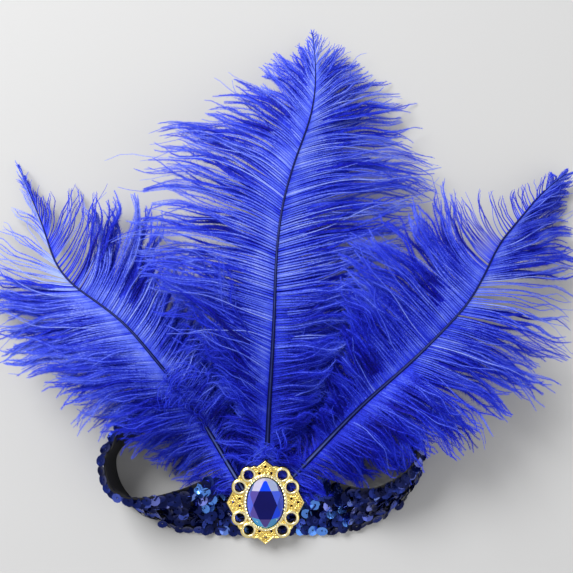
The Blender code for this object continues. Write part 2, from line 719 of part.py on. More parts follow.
def stand_on_origin(parts):
    """Hangs every part on an empty that puts the middle of their box's base at the origin."""
    bpy.context.view_layer.update()
    corners = [part.matrix_world @ vertex.co for part in parts for vertex in part.data.vertices]
    middle = [(min(c[k] for c in corners) + max(c[k] for c in corners)) / 2 for k in (0, 1)]
    base = min(c.z for c in corners)
    holder = bpy.data.objects.new("headdress_origin", None)
    bpy.context.scene.collection.objects.link(holder)
    holder.location = (-middle[0], -middle[1], -base)
    for part in parts:
        part.parent = holder


def main():
    clear_scene()
    parts_collection = new_collection("feather_headdress")
    cutters = new_collection("cutters")
    feather = material("blue_feather", BLUE_FEATHER)
    parts = [
        make_elastic_band(parts_collection),
        make_sequin_trim(parts_collection),
        make_brooch_setting(parts_collection, cutters),
        make_stone(parts_collection),
    ]
    for plume in PLUMES:
        parts.append(make_plume(plume, parts_collection, cutters, feather))
    stand_on_origin(parts)


main()
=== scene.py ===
import math
from collections import namedtuple

import bmesh
import bpy
import numpy as np
from mathutils import Matrix, Vector


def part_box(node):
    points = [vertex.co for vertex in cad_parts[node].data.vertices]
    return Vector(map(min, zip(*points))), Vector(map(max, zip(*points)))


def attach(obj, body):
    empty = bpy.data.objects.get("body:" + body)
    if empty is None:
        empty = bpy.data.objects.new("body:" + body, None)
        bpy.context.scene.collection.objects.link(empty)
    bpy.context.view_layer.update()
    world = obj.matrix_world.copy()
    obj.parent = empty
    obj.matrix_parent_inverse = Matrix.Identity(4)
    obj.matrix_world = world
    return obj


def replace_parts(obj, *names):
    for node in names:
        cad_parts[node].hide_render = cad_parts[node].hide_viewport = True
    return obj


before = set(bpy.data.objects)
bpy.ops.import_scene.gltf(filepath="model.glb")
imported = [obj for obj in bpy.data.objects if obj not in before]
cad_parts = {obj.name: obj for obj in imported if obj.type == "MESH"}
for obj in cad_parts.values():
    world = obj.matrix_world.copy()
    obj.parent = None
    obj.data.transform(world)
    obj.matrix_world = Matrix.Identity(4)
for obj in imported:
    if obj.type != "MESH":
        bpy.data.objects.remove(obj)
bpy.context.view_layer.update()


def table(kind, *rows):
    """Rows of one kind, each from its values in order."""
    return tuple(kind(*row) for row in rows)


# Sizes shared with the frame, in metres and degrees
BAND_WIDTH = 0.030
BAND_THICKNESS = 0.0015
CLEARANCE = 0.0003
LOOP_WIDTH = 0.153
FRONT_FLAT = 0.040
FRONT_DEPTH = 0.036
BACK_DEPTH = 0.021
TRIM_THICKNESS = 0.0012
SEQUIN_RELIEF = 0.0007
BROOCH_ABOVE_EDGE = 0.0180
FRONT_LEAN = 78
# The band's wall at each bearing round the loop, in degrees from upright towards the inside
Lean = namedtuple("Lean", "bearing degrees")
WALL_LEAN = table(
    Lean, (0, 78), (12, 68), (28, 48), (44, 33), (62, 25), (80, 16), (96, 6), (116, -4), (138, -22),
    (160, -44), (180, -58), (200, -44), (220, -25), (238, -10), (250, 0), (258, 0), (282, 0), (290, 0),
    (303, 9), (317, 25), (334, 46), (346, 63), (354, 73), (360, 78),
)
SETTING_THICKNESS = 0.0020
SETTING_OVAL_WIDTH = 0.0286
SETTING_OVAL_HEIGHT = 0.0336
SIDE_POINT_REACH = 0.0195
END_POINT_REACH = 0.0213
SIDE_POINT_STEEPNESS = 0.52
END_POINT_STEEPNESS = 0.80
EYELET_HOLE = 0.0046
EYELET_RIM = 0.0019
END_EYELET = (0.0084, 0.0139)
SIDE_EYELET = (0.0128, 0.0078)
PIERCING = 0.0012
SHOULDERS = ((0.0113, 0.0115), (0.0054, 0.0157))
SHOULDER_RADIUS = 0.0027
END_PIERCINGS = ((0.0, 0.0180), (0.0030, 0.0147))
SIDE_PIERCINGS = ((0.0162, 0.0), (0.0129, 0.0018))
STONE_WIDTH = 0.018
STONE_LENGTH = 0.025
STONE_HEIGHT = 0.0055
STONE_SEAT_DEPTH = 0.0010
QUILL_DIAMETER = 0.0024
SHAFT_TIP_DIAMETER = 0.0013
BARE_QUILL = 0.030
SEAT_LENGTH = 0.023
SEAT_RELEASE = 0.016
BARB_DROOP = 0.14
QUILL_SPACING = 0.0078
RIGHT_QUILL_RISE = 0.0055

# The working origin is under the brooch's middle, which the head loop's box gives
loop_low, loop_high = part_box("elastic_band")
ORIGIN = np.array((
    (loop_low.x + loop_high.x) / 2,
    loop_low.y + BROOCH_ABOVE_EDGE + BAND_THICKNESS * math.cos(math.radians(FRONT_LEAN)),
    0.0,
))

# A shaft's path: station is a share of its length, heading turns clockwise from +Y,
# and climb is the slope that it takes once it has left its seat under the brooch
Route = namedtuple("Route", "station heading climb")
CENTRE_ROUTE = table(
    Route, (0.00, 0, 12), (0.09, 3, 14), (0.14, 3, 26), (0.24, 4, 29), (0.34, 3, 18), (0.44, 2, 3),
    (0.54, 7, -6), (0.64, 15, -13), (0.74, 18, -19), (0.84, 7, -21), (0.93, -2, -15), (1.00, -8, -8),
)
LEFT_ROUTE = table(
    Route, (0.00, -31, 12), (0.09, -31, 14), (0.16, -30, 25), (0.24, -33, 27), (0.34, -39, 16),
    (0.44, -41, 0), (0.54, -53, -10), (0.62, -54, -16), (0.69, -39, -20), (0.76, -24, -21),
    (0.86, -25, -16), (1.00, -26, -6),
)
RIGHT_ROUTE = table(
    Route, (0.00, 42, 12), (0.09, 44, 15), (0.16, 43, 27), (0.24, 45, 30), (0.34, 49, 19),
    (0.44, 46, 3), (0.54, 43, -6), (0.62, 32, -14), (0.70, 29, -20), (0.78, 41, -22), (0.88, 42, -19),
    (1.00, 56, -8),
)

# A side of a vane: reach is a share of the plume's longest barb, sweep the angle between
# a barb and the shaft, bend how far a barb turns on its way, and rise its slope at the root
Barb = namedtuple("Barb", "station reach sweep bend rise")
CENTRE_LEFT = table(
    Barb, (0.00, 0.20, 62, 0, 6), (0.08, 0.36, 58, -8, 9), (0.16, 0.58, 56, -14, 10),
    (0.26, 0.78, 73, 0, 10), (0.36, 0.86, 81, 16, 9), (0.45, 0.94, 80, 26, 8), (0.54, 0.98, 79, 36, 7),
    (0.61, 0.86, 82, 46, 6), (0.67, 0.70, 80, 48, 5), (0.71, 0.58, 66, 26, 5), (0.77, 0.48, 60, 20, 4),
    (0.83, 0.37, 42, 12, 3), (0.88, 0.29, 27, 6, 1), (0.94, 0.15, 18, 2, 1), (1.00, 0.04, 10, 0, 0),
)
CENTRE_RIGHT = table(
    Barb, (0.00, 0.20, 70, -10, -3), (0.08, 0.36, 72, -30, -5), (0.16, 0.56, 70, -40, -7),
    (0.26, 0.76, 70, -34, -9), (0.36, 0.86, 71, -16, -9), (0.48, 1.00, 71, 22, -8),
    (0.58, 0.96, 68, 34, -7), (0.65, 0.88, 65, 32, -6), (0.70, 0.80, 57, 26, -6),
    (0.75, 0.66, 50, 20, -5), (0.81, 0.49, 42, 12, -3), (0.88, 0.31, 32, 8, -2),
    (0.94, 0.16, 22, 2, -1), (1.00, 0.04, 10, 0, 0),
)
LEFT_LEFT = table(
    Barb, (0.00, 0.34, 88, 30, -4), (0.08, 0.48, 84, 36, 0), (0.15, 0.50, 76, 34, 4),
    (0.22, 0.74, 64, 28, 9), (0.29, 0.90, 60, 14, 7), (0.37, 1.00, 55, -2, 4), (0.48, 0.98, 41, -6, 0),
    (0.58, 0.86, 25, -26, 0), (0.66, 0.66, 16, -16, 0), (0.76, 0.42, 13, -8, 0),
    (0.86, 0.26, 11, -4, 0), (1.00, 0.09, 7, 0, 0),
)
LEFT_RIGHT = table(
    Barb, (0.00, 0.20, 66, 10, -8), (0.10, 0.34, 72, 6, -16), (0.24, 0.48, 70, -4, -24),
    (0.38, 0.66, 66, -24, -18), (0.50, 0.88, 62, -46, -9), (0.58, 0.80, 60, -48, -4),
    (0.66, 0.70, 52, -40, -3), (0.72, 0.58, 40, -28, -2), (0.79, 0.30, 22, -12, -1),
    (0.88, 0.18, 12, -4, 0), (1.00, 0.06, 5, 0, 0),
)
RIGHT_LEFT = table(
    Barb, (0.00, 0.18, 82, 10, 8), (0.10, 0.27, 84, 0, 10), (0.20, 0.46, 84, -4, 12),
    (0.32, 0.76, 90, 0, 12), (0.44, 0.94, 96, 20, 10), (0.54, 0.90, 74, -20, 7),
    (0.62, 0.74, 56, -50, 4), (0.70, 0.48, 54, -56, 3), (0.80, 0.26, 52, -40, 2),
    (0.90, 0.18, 40, -20, 1), (1.00, 0.09, 18, 0, 0),
)
RIGHT_RIGHT = table(
    Barb, (0.00, 0.34, 92, 22, 0), (0.08, 0.52, 84, 26, 4), (0.15, 0.58, 80, 28, 8),
    (0.22, 0.75, 77, 24, 9), (0.34, 0.92, 68, 20, 2), (0.46, 0.98, 65, 16, -2),
    (0.56, 0.90, 61, 16, -4), (0.66, 0.80, 45, 6, -4), (0.76, 0.62, 25, 4, -4), (0.86, 0.42, 18, 2, -3),
    (0.94, 0.26, 16, 0, -2), (1.00, 0.10, 10, 0, 0),
)

# A stretch of vane worn down to lone strands: where, how many barbs it lacks, and how
# much lighter than the rest they are painted: painted light on the outer strands, and below zero painted
# shade on the inner ones
Thin = namedtuple("Thin", "first last lack lighter")
FULL = Thin(0.88, 1.0, 0.30, 0.0)
LEFT_OUTER = Thin(0.57, 1.0, 0.58, 0.10)
LEFT_INNER = Thin(0.57, 0.90, 0.36, -0.26)
RIGHT_INNER = Thin(0.62, 0.90, 0.34, -0.16)
RIGHT_OUTER = Thin(0.48, 0.55, 0.36, 0.08)

# A plume: its shaft's length and longest barb, where its quill ends across and up the band,
# its quill's painted highlight, how much lighter its barbs are painted as by light from the left (below
# zero, darker), and its tables
Plume = namedtuple("Plume", "name length reach end rise sheen light route left right left_thin right_thin")
PLUMES = (
    Plume("plume_left", 0.224, 0.072, -QUILL_SPACING, 0.0, 0.45, 0.04, LEFT_ROUTE,
          LEFT_LEFT, LEFT_RIGHT, LEFT_OUTER, LEFT_INNER),
    Plume("plume_centre", 0.258, 0.084, 0.0, 0.0, 0.0, 0.0, CENTRE_ROUTE,
          CENTRE_LEFT, CENTRE_RIGHT, FULL, FULL),
    Plume("plume_right", 0.232, 0.066, QUILL_SPACING, RIGHT_QUILL_RISE, 0.30, -0.07, RIGHT_ROUTE,
          RIGHT_LEFT, RIGHT_RIGHT, RIGHT_INNER, RIGHT_OUTER),
)

# A layer of barbs: their count and width, the stretch of vane they spring from, how many
# share a lock and how firmly, their spread and curl in degrees, their height and how much it
# varies, their share of the full length, their hairs, a hair's length, and their tone
Layer = namedtuple("Layer", "count width first last lock grip fan curl depth loft length hairs hair tone")
TOP = Layer(176, 0.00082, 0.0, 1.0, (2, 13), 0.74, 5.0, 3.0, 0.0, 0.0012, 1.0, 47000, 0.0021, 0.0)
# The under layer's dark tone is painted shade: it lies below the top barbs, where their shadow falls
UNDER = Layer(150, 0.00165, 0.0, 0.92, (2, 7), 0.24, 4.0, 3.0, -0.0022, 0.0012, 0.95, 36000,
              0.0031, -0.34)
WISPS = Layer(26, 0.00050, 0.05, 0.95, (1, 3), 0.50, 8.0, 2.5, 0.0012, 0.0016, 1.04, 3000,
              0.0015, 0.12)
BARB_POINTS = 15
BARB_TIP_WIDTH = 0.00018
BARB_TAPER = 0.7
UNDER_TAPER = 1.8
LOCK_LENGTHS = (0.88, 1.08)
BARB_LENGTHS = (0.80, 1.05)
CURL_WAVES = (1.0, 2.4)
HAIR_WIDTH = 0.00024
HAIR_LENGTHS = (0.6, 1.2)
HAIR_SWEEP = (24, 50)
HAIR_LIFT = (5, 24)
FLOOR_GAP = 0.0005
FLOOR_LAYER = 0.0008
ROOT_STRAY = 0.14
ROOT_SEAT = 0.0008
UNDER_BROOCH = 0.0006
BROOCH_SHADOW = (0.0205, 0.0224)
OVER_SEQUINS = 0.0025
SEQUINS_HALF_WIDTH = 0.045

# Tones run from 0, the darkest colour of a surface, to 1, its lightest
TONE_SPREAD = 0.07
FOOT_SHADE = 0.20
STRIP_TONE = 0.72
STRIP_ROOT_SHADE = 0.12
HAIR_TONE = 0.28
HAIR_RISE = 0.26
HAIR_TIP_LIGHT = 0.18
HAIR_TONE_SPREAD = 0.06
UP = np.array((0.0, 0.0, 1.0))


def spline(rows, column, at):
    """Smoothly interpolates a column of a table, for any values of its first column."""
    keys = np.array([row[0] for row in rows], float)
    values = np.array([getattr(row, column) for row in rows], float)
    last = len(rows) - 1
    at = np.clip(at, keys[0], keys[-1])
    i = np.clip(np.searchsorted(keys, at, side="right") - 1, 0, last - 1)
    before = np.maximum(i - 1, 0)
    after = np.minimum(i + 2, last)
    span = keys[i + 1] - keys[i]
    slope_in = (values[i + 1] - values[before]) / (keys[i + 1] - keys[before])
    slope_out = (values[after] - values[i]) / (keys[after] - keys[i])
    t = (at - keys[i]) / span
    return (
        values[i] * (2 * t**3 - 3 * t**2 + 1)
        + values[i + 1] * (3 * t**2 - 2 * t**3)
        + slope_in * span * (t**3 - 2 * t**2 + t)
        + slope_out * span * (t**3 - t**2)
    )


def unit(vectors):
    """Vectors scaled to length 1."""
    return vectors / np.maximum(np.linalg.norm(vectors, axis=-1, keepdims=True), 1e-9)


def ease(low, high, at):
    """A soft step from 0 at the low value to 1 at the high one."""
    t = np.clip((at - low) / (high - low), 0, 1)
    return t * t * (3 - 2 * t)


# Brooch's place: across, up the band, and out of its face
LEAN = math.radians(FRONT_LEAN)
UP_BAND = np.array((0.0, math.sin(LEAN), math.cos(LEAN)))
OUT_OF_BAND = np.array((0.0, -math.cos(LEAN), math.sin(LEAN)))
QUILL_LAYER = QUILL_DIAMETER + 2 * CLEARANCE
BROOCH_STACK = BAND_THICKNESS + CLEARANCE + TRIM_THICKNESS + SEQUIN_RELIEF + QUILL_LAYER
BROOCH_MIDDLE = (
    np.array((0.0, -BROOCH_ABOVE_EDGE, 0.0))
    + UP_BAND * BROOCH_ABOVE_EDGE
    + OUT_OF_BAND * BROOCH_STACK
)


def mesh_piece(name, points, faces, surface, tones, uvs=None, smooth=True):
    """One riding mesh from arrays of points (from the working origin), triangles and tones."""
    mesh = bpy.data.meshes.new(name)
    mesh.vertices.add(len(points))
    mesh.vertices.foreach_set("co", (points + ORIGIN).astype(np.float32).ravel())
    mesh.loops.add(faces.size)
    mesh.loops.foreach_set("vertex_index", faces.astype(np.int32).ravel())
    mesh.polygons.add(len(faces))
    mesh.polygons.foreach_set("loop_start", np.arange(0, faces.size, 3, dtype=np.int32))
    mesh.polygons.foreach_set("use_smooth", np.full(len(faces), smooth))
    mesh.update(calc_edges=True)
    tone_layer = mesh.attributes.new("tone", "FLOAT", "POINT")
    tone_layer.data.foreach_set("value", tones.astype(np.float32))
    if uvs is not None:
        map_layer = mesh.uv_layers.new(name="OFBake")
        map_layer.data.foreach_set("uv", uvs[faces.ravel()].astype(np.float32).ravel())
    mesh.validate()
    piece = bpy.data.objects.new(name, mesh)
    bpy.context.scene.collection.objects.link(piece)
    mesh.materials.append(surface)
    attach(piece, "root")
    return piece


def tube_faces(rings, sides, closed=False):
    """Triangles round a tube whose points run ring by ring."""
    j = np.arange(sides)
    k = (j + 1) % sides
    i = np.arange(rings if closed else rings - 1)[:, None]
    low, high = i * sides, (i + 1) % rings * sides
    return np.concatenate((
        np.stack((low + j, low + k, high + k), 2), np.stack((low + j, high + k, high + j), 2),
    )).reshape(-1, 3)


def on_brooch(local):
    """Places given across, up and out of the brooch's back, from the working origin."""
    return BROOCH_MIDDLE + local[:, :1] * (1, 0, 0) + local[:, 1:2] * UP_BAND + local[:, 2:] * OUT_OF_BAND


def shaft_path(plume, points=240):
    """Stations, places, headings and slopes along the shaft's middle."""
    seat_depth = CLEARANCE + QUILL_DIAMETER / 2
    start = BROOCH_MIDDLE + np.array((plume.end, 0, 0)) + UP_BAND * plume.rise
    start = start - OUT_OF_BAND * seat_depth
    stations = np.linspace(0, 1, points)
    heading = spline(plume.route, "heading", stations)
    climb = spline(plume.route, "climb", stations)
    free = ease(SEAT_LENGTH, SEAT_LENGTH + SEAT_RELEASE, stations * plume.length)
    seat_slope = (90 - FRONT_LEAN) * np.cos(np.radians(heading))
    slope = seat_slope + (climb - seat_slope) * free
    level = np.cos(np.radians(slope))
    step = np.stack((np.sin(np.radians(heading)) * level,
                     np.cos(np.radians(heading)) * level,
                     np.sin(np.radians(slope))), 1) * plume.length / (points - 1)
    places = start + np.vstack((np.zeros(3), np.cumsum(step[:-1], 0)))
    return stations, places, heading, slope


def clear_of_brooch(points):
    """Presses points that pass over the brooch under it, and keeps them off the sequins."""
    local = points - BROOCH_MIDDLE
    across, up, out = local[..., 0], local @ UP_BAND, local @ OUT_OF_BAND
    over = (across / BROOCH_SHADOW[0])**2 + (up / BROOCH_SHADOW[1])**2 < 1
    ceiling = np.where(over, -UNDER_BROOCH, 1.0)
    on_band = (up < BAND_WIDTH - BROOCH_ABOVE_EDGE) & (np.abs(across) < SEQUINS_HALF_WIDTH)
    floor = np.where(on_band, -OVER_SEQUINS, -1.0)
    wanted = np.minimum(np.maximum(out, floor), ceiling)
    return points + (wanted - out)[..., None] * OUT_OF_BAND


def thinness(thin, vane):
    """How far every station lies in a thin stretch, from 0 to 1."""
    return ease(thin.first - 0.03, thin.first + 0.05, vane) * (1 - ease(thin.last, thin.last + 0.06, vane))


def thin_stretch(plume, side):
    return plume.left_thin if side < 0 else plume.right_thin


def barb_roots(plume, path, side, layer, rng):
    """Every barb's vane station, and the shaft's place, heading and slope there."""
    thin = thin_stretch(plume, side)
    step = np.arange(layer.count) + 0.5 + rng.uniform(-ROOT_STRAY, ROOT_STRAY, layer.count)
    vane = layer.first + (layer.last - layer.first) * step / layer.count
    lack = 1.0 if layer is UNDER else thin.lack
    vane = vane[rng.random(layer.count) >= lack * thinness(thin, vane)]
    stations, places, heading, slope = path
    bare = BARE_QUILL / plume.length
    at = bare + (1 - bare) * vane
    place = np.stack([np.interp(at, stations, places[:, k]) for k in range(3)], 1)
    return vane, place, np.interp(at, stations, heading), np.interp(at, stations, slope)


def barb_lines(plume, path, rows, side, layer, rng):
    """Every barb's vane station, its line of points and its reach, on one side of a plume."""
    vane, place, heading, slope = barb_roots(plume, path, side, layer, rng)
    count = len(vane)
    sizes = rng.integers(*layer.lock, count)
    lock = np.repeat(np.arange(count), sizes)[:count]
    locks = lock[-1] + 1
    leader = np.array([int(np.flatnonzero(lock == k).mean()) for k in range(locks)])

    lock_length = rng.uniform(*LOCK_LENGTHS, locks)[lock]
    lock_turn = rng.normal(0, layer.fan, locks)[lock]
    lock_lift = rng.normal(0, layer.loft * 1.5, locks)[lock]
    own_length = rng.uniform(*BARB_LENGTHS, count) * layer.length
    reach = plume.reach * spline(rows, "reach", vane) * lock_length * own_length
    sweep = spline(rows, "sweep", vane)
    bend = spline(rows, "bend", vane)
    rise = np.radians(spline(rows, "rise", vane))

    share = np.linspace(0, 1, BARB_POINTS)[None, :]
    phase = rng.uniform(0, 2 * math.pi, (count, 1))
    waves = rng.uniform(*CURL_WAVES, (count, 1))
    turn = sweep[:, None] + bend[:, None] * (share - 1) / 2
    stray = (lock_turn + rng.normal(0, layer.fan / 2, count))[:, None]
    turn = turn + stray * share * ease(0.0, 0.5, share)
    turn = turn + layer.curl * share * np.sin(phase + 2 * math.pi * waves * share)
    aim = np.radians(heading[:, None] + side * turn)
    out = reach[:, None] * share
    forward = out * np.cos(np.radians(turn))
    height = out * np.tan(rise)[:, None] - BARB_DROOP * reach[:, None] * share**2
    height = height + forward * np.tan(np.radians(slope))[:, None]
    lift = layer.depth + lock_lift + rng.normal(0, layer.loft, count)
    seat = ROOT_SEAT if layer is UNDER else 0.0
    free = ease(0.05, 0.6, share)
    height = height + lift[:, None] * free - seat * (1 - free)
    points = place[:, None, :] + np.stack((np.sin(aim) * out, np.cos(aim) * out, height), 2)

    firm = rng.uniform(layer.grip - 0.3, layer.grip + 0.15, (locks, 1))[lock]
    firm = np.clip(firm, 0, 0.97) * (1 - 0.55 * thinness(thin_stretch(plume, side), vane))[:, None]
    hold = ease(0.25, 1.0, share) * firm
    points = points + (points[leader[lock]] - points) * hold[:, :, None]
    floor = FLOOR_GAP + FLOOR_LAYER * rng.random((count, 1))
    points[:, :, 2] = np.maximum(points[:, :, 2], floor)
    return vane, clear_of_brooch(points), reach


def ribbons(points, width):
    """Flat strips along lines of points, as points and triangles."""
    lines, count, _ = points.shape
    along = unit(np.gradient(points, axis=1))
    half = unit(np.cross(along, UP)) * width[:, :, None] / 2
    verts = np.stack((points - half, points + half), 2).reshape(-1, 3)
    first = (np.arange(lines)[:, None] * count + np.arange(count - 1)[None, :]) * 2
    a, b, c, d = first, first + 1, first + 3, first + 2
    faces = np.concatenate((np.stack((a, b, c), 2), np.stack((a, c, d), 2)), 1).reshape(-1, 3)
    return verts, faces


def hairs_on(points, reach, lone, layer, rng):
    """Fine hairs on both edges of every barb, one triangle each, leaning to the barb's tip.

    Returns their points and triangles, and each one's barb and place along it.
    """
    lines, count, _ = points.shape
    per = np.maximum(8, np.round(reach / reach.sum() * layer.hairs)).astype(int)
    line = np.repeat(np.arange(lines), per)
    order = np.concatenate([np.arange(n) for n in per])
    share = 0.01 + 0.98 * (order + rng.random(len(line))) / per[line]
    spot = share * (count - 1)
    low = np.minimum(spot.astype(int), count - 2)
    t = (spot - low)[:, None]
    root = points[line, low] * (1 - t) + points[line, low + 1] * t
    along = unit(points[line, low + 1] - points[line, low])
    aside = unit(np.cross(along, UP))
    up = np.cross(aside, along)
    hand = np.where(order % 2, 1.0, -1.0)
    sweep = np.radians(rng.uniform(*HAIR_SWEEP, len(line)))
    lift = np.radians(rng.normal(*HAIR_LIFT, len(line)))
    out = aside * (hand * np.cos(lift))[:, None] + up * np.sin(lift)[:, None]
    way = along * np.cos(sweep)[:, None] + out * np.sin(sweep)[:, None]
    grown = 0.16 + 0.84 * ease(0.05, 0.42, share) - 0.62 * ease(0.70, 1.0, share)
    length = layer.hair * grown * (1 - 0.55 * lone[line])
    tip = root + way * (length * rng.uniform(*HAIR_LENGTHS, len(line)))[:, None]
    tip[:, 2] = np.maximum(tip[:, 2], FLOOR_GAP * 0.6)
    tip = clear_of_brooch(tip)
    half = along * (HAIR_WIDTH / 2 * rng.uniform(0.7, 1.3, len(line)))[:, None]
    verts = np.stack((root - half, root + half, tip), 1).reshape(-1, 3)
    return verts, np.arange(len(verts)).reshape(-1, 3), line, share


# A colour of a surface and the tone that shows it
Stop = namedtuple("Stop", "at colour")
FEATHER_STOPS = table(
    Stop, (0.00, (0.0, 0.0003, 0.135)), (0.22, (0.0006, 0.0025, 0.40)), (0.50, (0.021, 0.043, 0.68)),
    (0.72, (0.096, 0.150, 0.77)), (1.00, (0.30, 0.38, 0.80)),
)
# The upper end of the quill's colours shows only in its painted highlight
QUILL_STOPS = table(
    Stop, (0.00, (0.001, 0.002, 0.030)), (0.45, (0.004, 0.008, 0.100)), (1.00, (0.10, 0.15, 0.40)),
)
# Sequin colours: dark navy, the lavender stop for painted glints, and sky-blue for sequins painted as
# catching the light
SEQUIN_STOPS = table(
    Stop, (0.00, (0.0010, 0.0025, 0.028)), (0.35, (0.008, 0.021, 0.185)), (0.60, (0.045, 0.085, 0.500)),
    (0.82, (0.200, 0.240, 0.700)), (1.00, (0.120, 0.330, 0.980)),
)
# Gold from the lowest parts of the relief, darkened with painted shade, up to the tops of the beads,
# lightened with painted highlight
GOLD_STOPS = table(
    Stop, (0.00, (0.32, 0.16, 0.020)), (0.45, (0.86, 0.60, 0.130)), (0.80, (1.00, 0.83, 0.340)),
    (1.00, (1.00, 0.91, 0.580)),
)
ELASTIC_STOPS = (Stop(0.00, (0.0006, 0.0006, 0.0010)), Stop(1.00, (0.0060, 0.0060, 0.0110)))


def toned_material(name, stops, grain, share, roughness, metallic=0.0, specular=0.5):
    """A surface whose colour follows the pieces' tone, broken up by fine noise."""
    made = bpy.data.materials.new(name)
    made.use_nodes = True
    nodes, links = made.node_tree.nodes, made.node_tree.links
    shader = nodes["Principled BSDF"]
    tone = nodes.new("ShaderNodeAttribute")
    tone.attribute_name = "tone"
    where = nodes.new("ShaderNodeTexCoord")
    noise = nodes.new("ShaderNodeTexNoise")
    noise.inputs["Scale"].default_value = grain
    noise.inputs["Detail"].default_value = 3.0
    links.new(where.outputs["Object"], noise.inputs["Vector"])
    centred = nodes.new("ShaderNodeMath")
    centred.operation = "SUBTRACT"
    links.new(noise.outputs["Fac"], centred.inputs[0])
    centred.inputs[1].default_value = 0.5
    mix = nodes.new("ShaderNodeMath")
    mix.operation = "MULTIPLY_ADD"
    links.new(centred.outputs[0], mix.inputs[0])
    mix.inputs[1].default_value = share
    links.new(tone.outputs["Fac"], mix.inputs[2])
    ramp = nodes.new("ShaderNodeValToRGB")
    elements = ramp.color_ramp.elements
    while len(elements) < len(stops):
        elements.new(0.5)
    for element, stop in zip(elements, stops):
        element.position = stop.at
        element.color = (*stop.colour, 1)
    links.new(mix.outputs[0], ramp.inputs[0])
    links.new(ramp.outputs[0], shader.inputs["Base Color"])
    shader.inputs["Roughness"].default_value = roughness
    shader.inputs["Metallic"].default_value = metallic
    shader.inputs["Specular IOR Level"].default_value = specular
    return made


def depth_tone(layer, share):
    """How much darker a layer is along its barbs. It fades towards the tips. For the under layer it is
    painted shade.
    """
    return layer.tone * (1 - 0.8 * ease(0.40, 0.85, share))


def layer_mesh(plume, path, rows, side, layer, rng):
    """Points, triangles, tones and map places of one layer's barbs and hairs."""
    vane, points, reach = barb_lines(plume, path, rows, side, layer, rng)
    thin = thin_stretch(plume, side)
    worn = thinness(thin, vane)
    lone = np.maximum(worn, 0.8 * ease(0.84, 1.0, vane))
    lines = len(points)
    share = np.linspace(0, 1, BARB_POINTS)[None, :]
    taper = UNDER_TAPER if layer is UNDER else BARB_TAPER
    width = layer.width + (BARB_TIP_WIDTH - layer.width) * share**taper * np.ones((lines, 1))
    strips, strip_faces = ribbons(points, width)
    # Loose strands in a thin stretch take their painted light (outer sides) and painted shade (inner
    # sides) here
    barb_tone_and_light = rng.normal(0.0, TONE_SPREAD, lines) + thin.lighter * worn
    # Painted light: the left plume's barbs lighter and the right plume's darker, as light falls from the
    # left; FOOT_SHADE is painted shade towards the feet of the vanes
    barb_tone_and_light = barb_tone_and_light + plume.light - FOOT_SHADE * (1 - ease(0.05, 0.42, vane))
    strip_tone = STRIP_TONE + barb_tone_and_light[:, None] + depth_tone(layer, share)
    strip_tone = strip_tone - STRIP_ROOT_SHADE * (1 - ease(0.0, 0.05, share))
    strip_tone = np.repeat(strip_tone[:, :, None], 2, 2).ravel()
    row = (np.arange(lines) + 0.5) / lines
    strip_u = np.broadcast_to(share[:, :, None], (lines, BARB_POINTS, 2))
    strip_v = row[:, None, None] + np.array((-0.3, 0.3)) / lines
    strip_uv = np.stack((strip_u, np.broadcast_to(strip_v, strip_u.shape)), 3).reshape(-1, 2)

    hairs, hair_faces, line, at = hairs_on(points, reach, lone, layer, rng)
    hair_tone = HAIR_TONE + HAIR_RISE * at + depth_tone(layer, at) + barb_tone_and_light[line]
    hair_tone = hair_tone + rng.normal(0, HAIR_TONE_SPREAD, len(line))
    hair_tone = np.stack((hair_tone, hair_tone, hair_tone + HAIR_TIP_LIGHT), 1).ravel()
    hair_u = np.minimum(at[:, None] + (0, 0.005, 0.020), 1)
    hair_v = row[line][:, None] + np.array((0, 0, 0.45)) / lines
    hair_uv = np.stack((hair_u, hair_v), 2).reshape(-1, 2)
    verts, faces = np.vstack((strips, hairs)), np.vstack((strip_faces, hair_faces + len(strips)))
    return verts, faces, np.concatenate((strip_tone, hair_tone)), np.vstack((strip_uv, hair_uv))


def feather_piece(name, layers, feather):
    """One piece from the meshes of several layers, whose maps lie side by side."""
    verts, faces, tones, uvs = zip(*layers)
    starts = np.cumsum([0] + [len(points) for points in verts])
    faces = [corners + start for corners, start in zip(faces, starts)]
    uvs = [uv * (1 / len(layers), 1) + (number / len(layers), 0) for number, uv in enumerate(uvs)]
    piece = mesh_piece(name, np.vstack(verts), np.vstack(faces), feather, np.concatenate(tones),
                       np.vstack(uvs))


def make_side(plume, path, rows, side, seed, feather):
    """One side of a plume's vane, from all its layers."""
    rng = np.random.default_rng(seed)
    layers = [layer_mesh(plume, path, rows, side, layer, rng) for layer in (TOP, UNDER, WISPS)]
    feather_piece(plume.name + ("_left_vane" if side < 0 else "_right_vane"), layers, feather)


# Down at the foot of each plume: it hides the back of the loop and meets the brooch
FAN = Layer(110, 0.0010, 0, 1, (3, 7), 0.48, 8.0, 5.0, 0.0, 0.0020, 0.95, 22000, 0.0030, -0.03)
CURLS = Layer(84, 0.0010, 0, 1, (3, 8), 0.50, 11.0, 6.0, -0.0008, 0.0020, 0.95, 17000,
              0.0032, -0.10)
TUFT = Layer(110, 0.0012, 0, 1, (2, 6), 0.36, 24.0, 13.0, -0.0060, 0.0020, 0.95, 18000,
             0.0036, -0.16)
COVER = Layer(34, 0.0008, 0, 1, (2, 5), 0.30, 34.0, 30.0, 0.0034, 0.0024, 1.0, 2800, 0.0030, -0.12)
LEFT_FAN = table(
    Barb, (-0.13, 0.27, 68, 12, 0), (-0.04, 0.42, 80, 18, 2), (0.05, 0.58, 82, 20, 4),
    (0.14, 0.72, 75, 22, 6), (0.24, 0.78, 68, 20, 6), (0.34, 0.66, 62, 20, 4),
)
LEFT_CURLS = table(
    Barb, (-0.12, 0.22, 60, 60, -4), (0.00, 0.30, 66, 40, -12), (0.14, 0.36, 66, 10, -20),
    (0.28, 0.42, 66, 0, -24), (0.36, 0.46, 64, -6, -22),
)
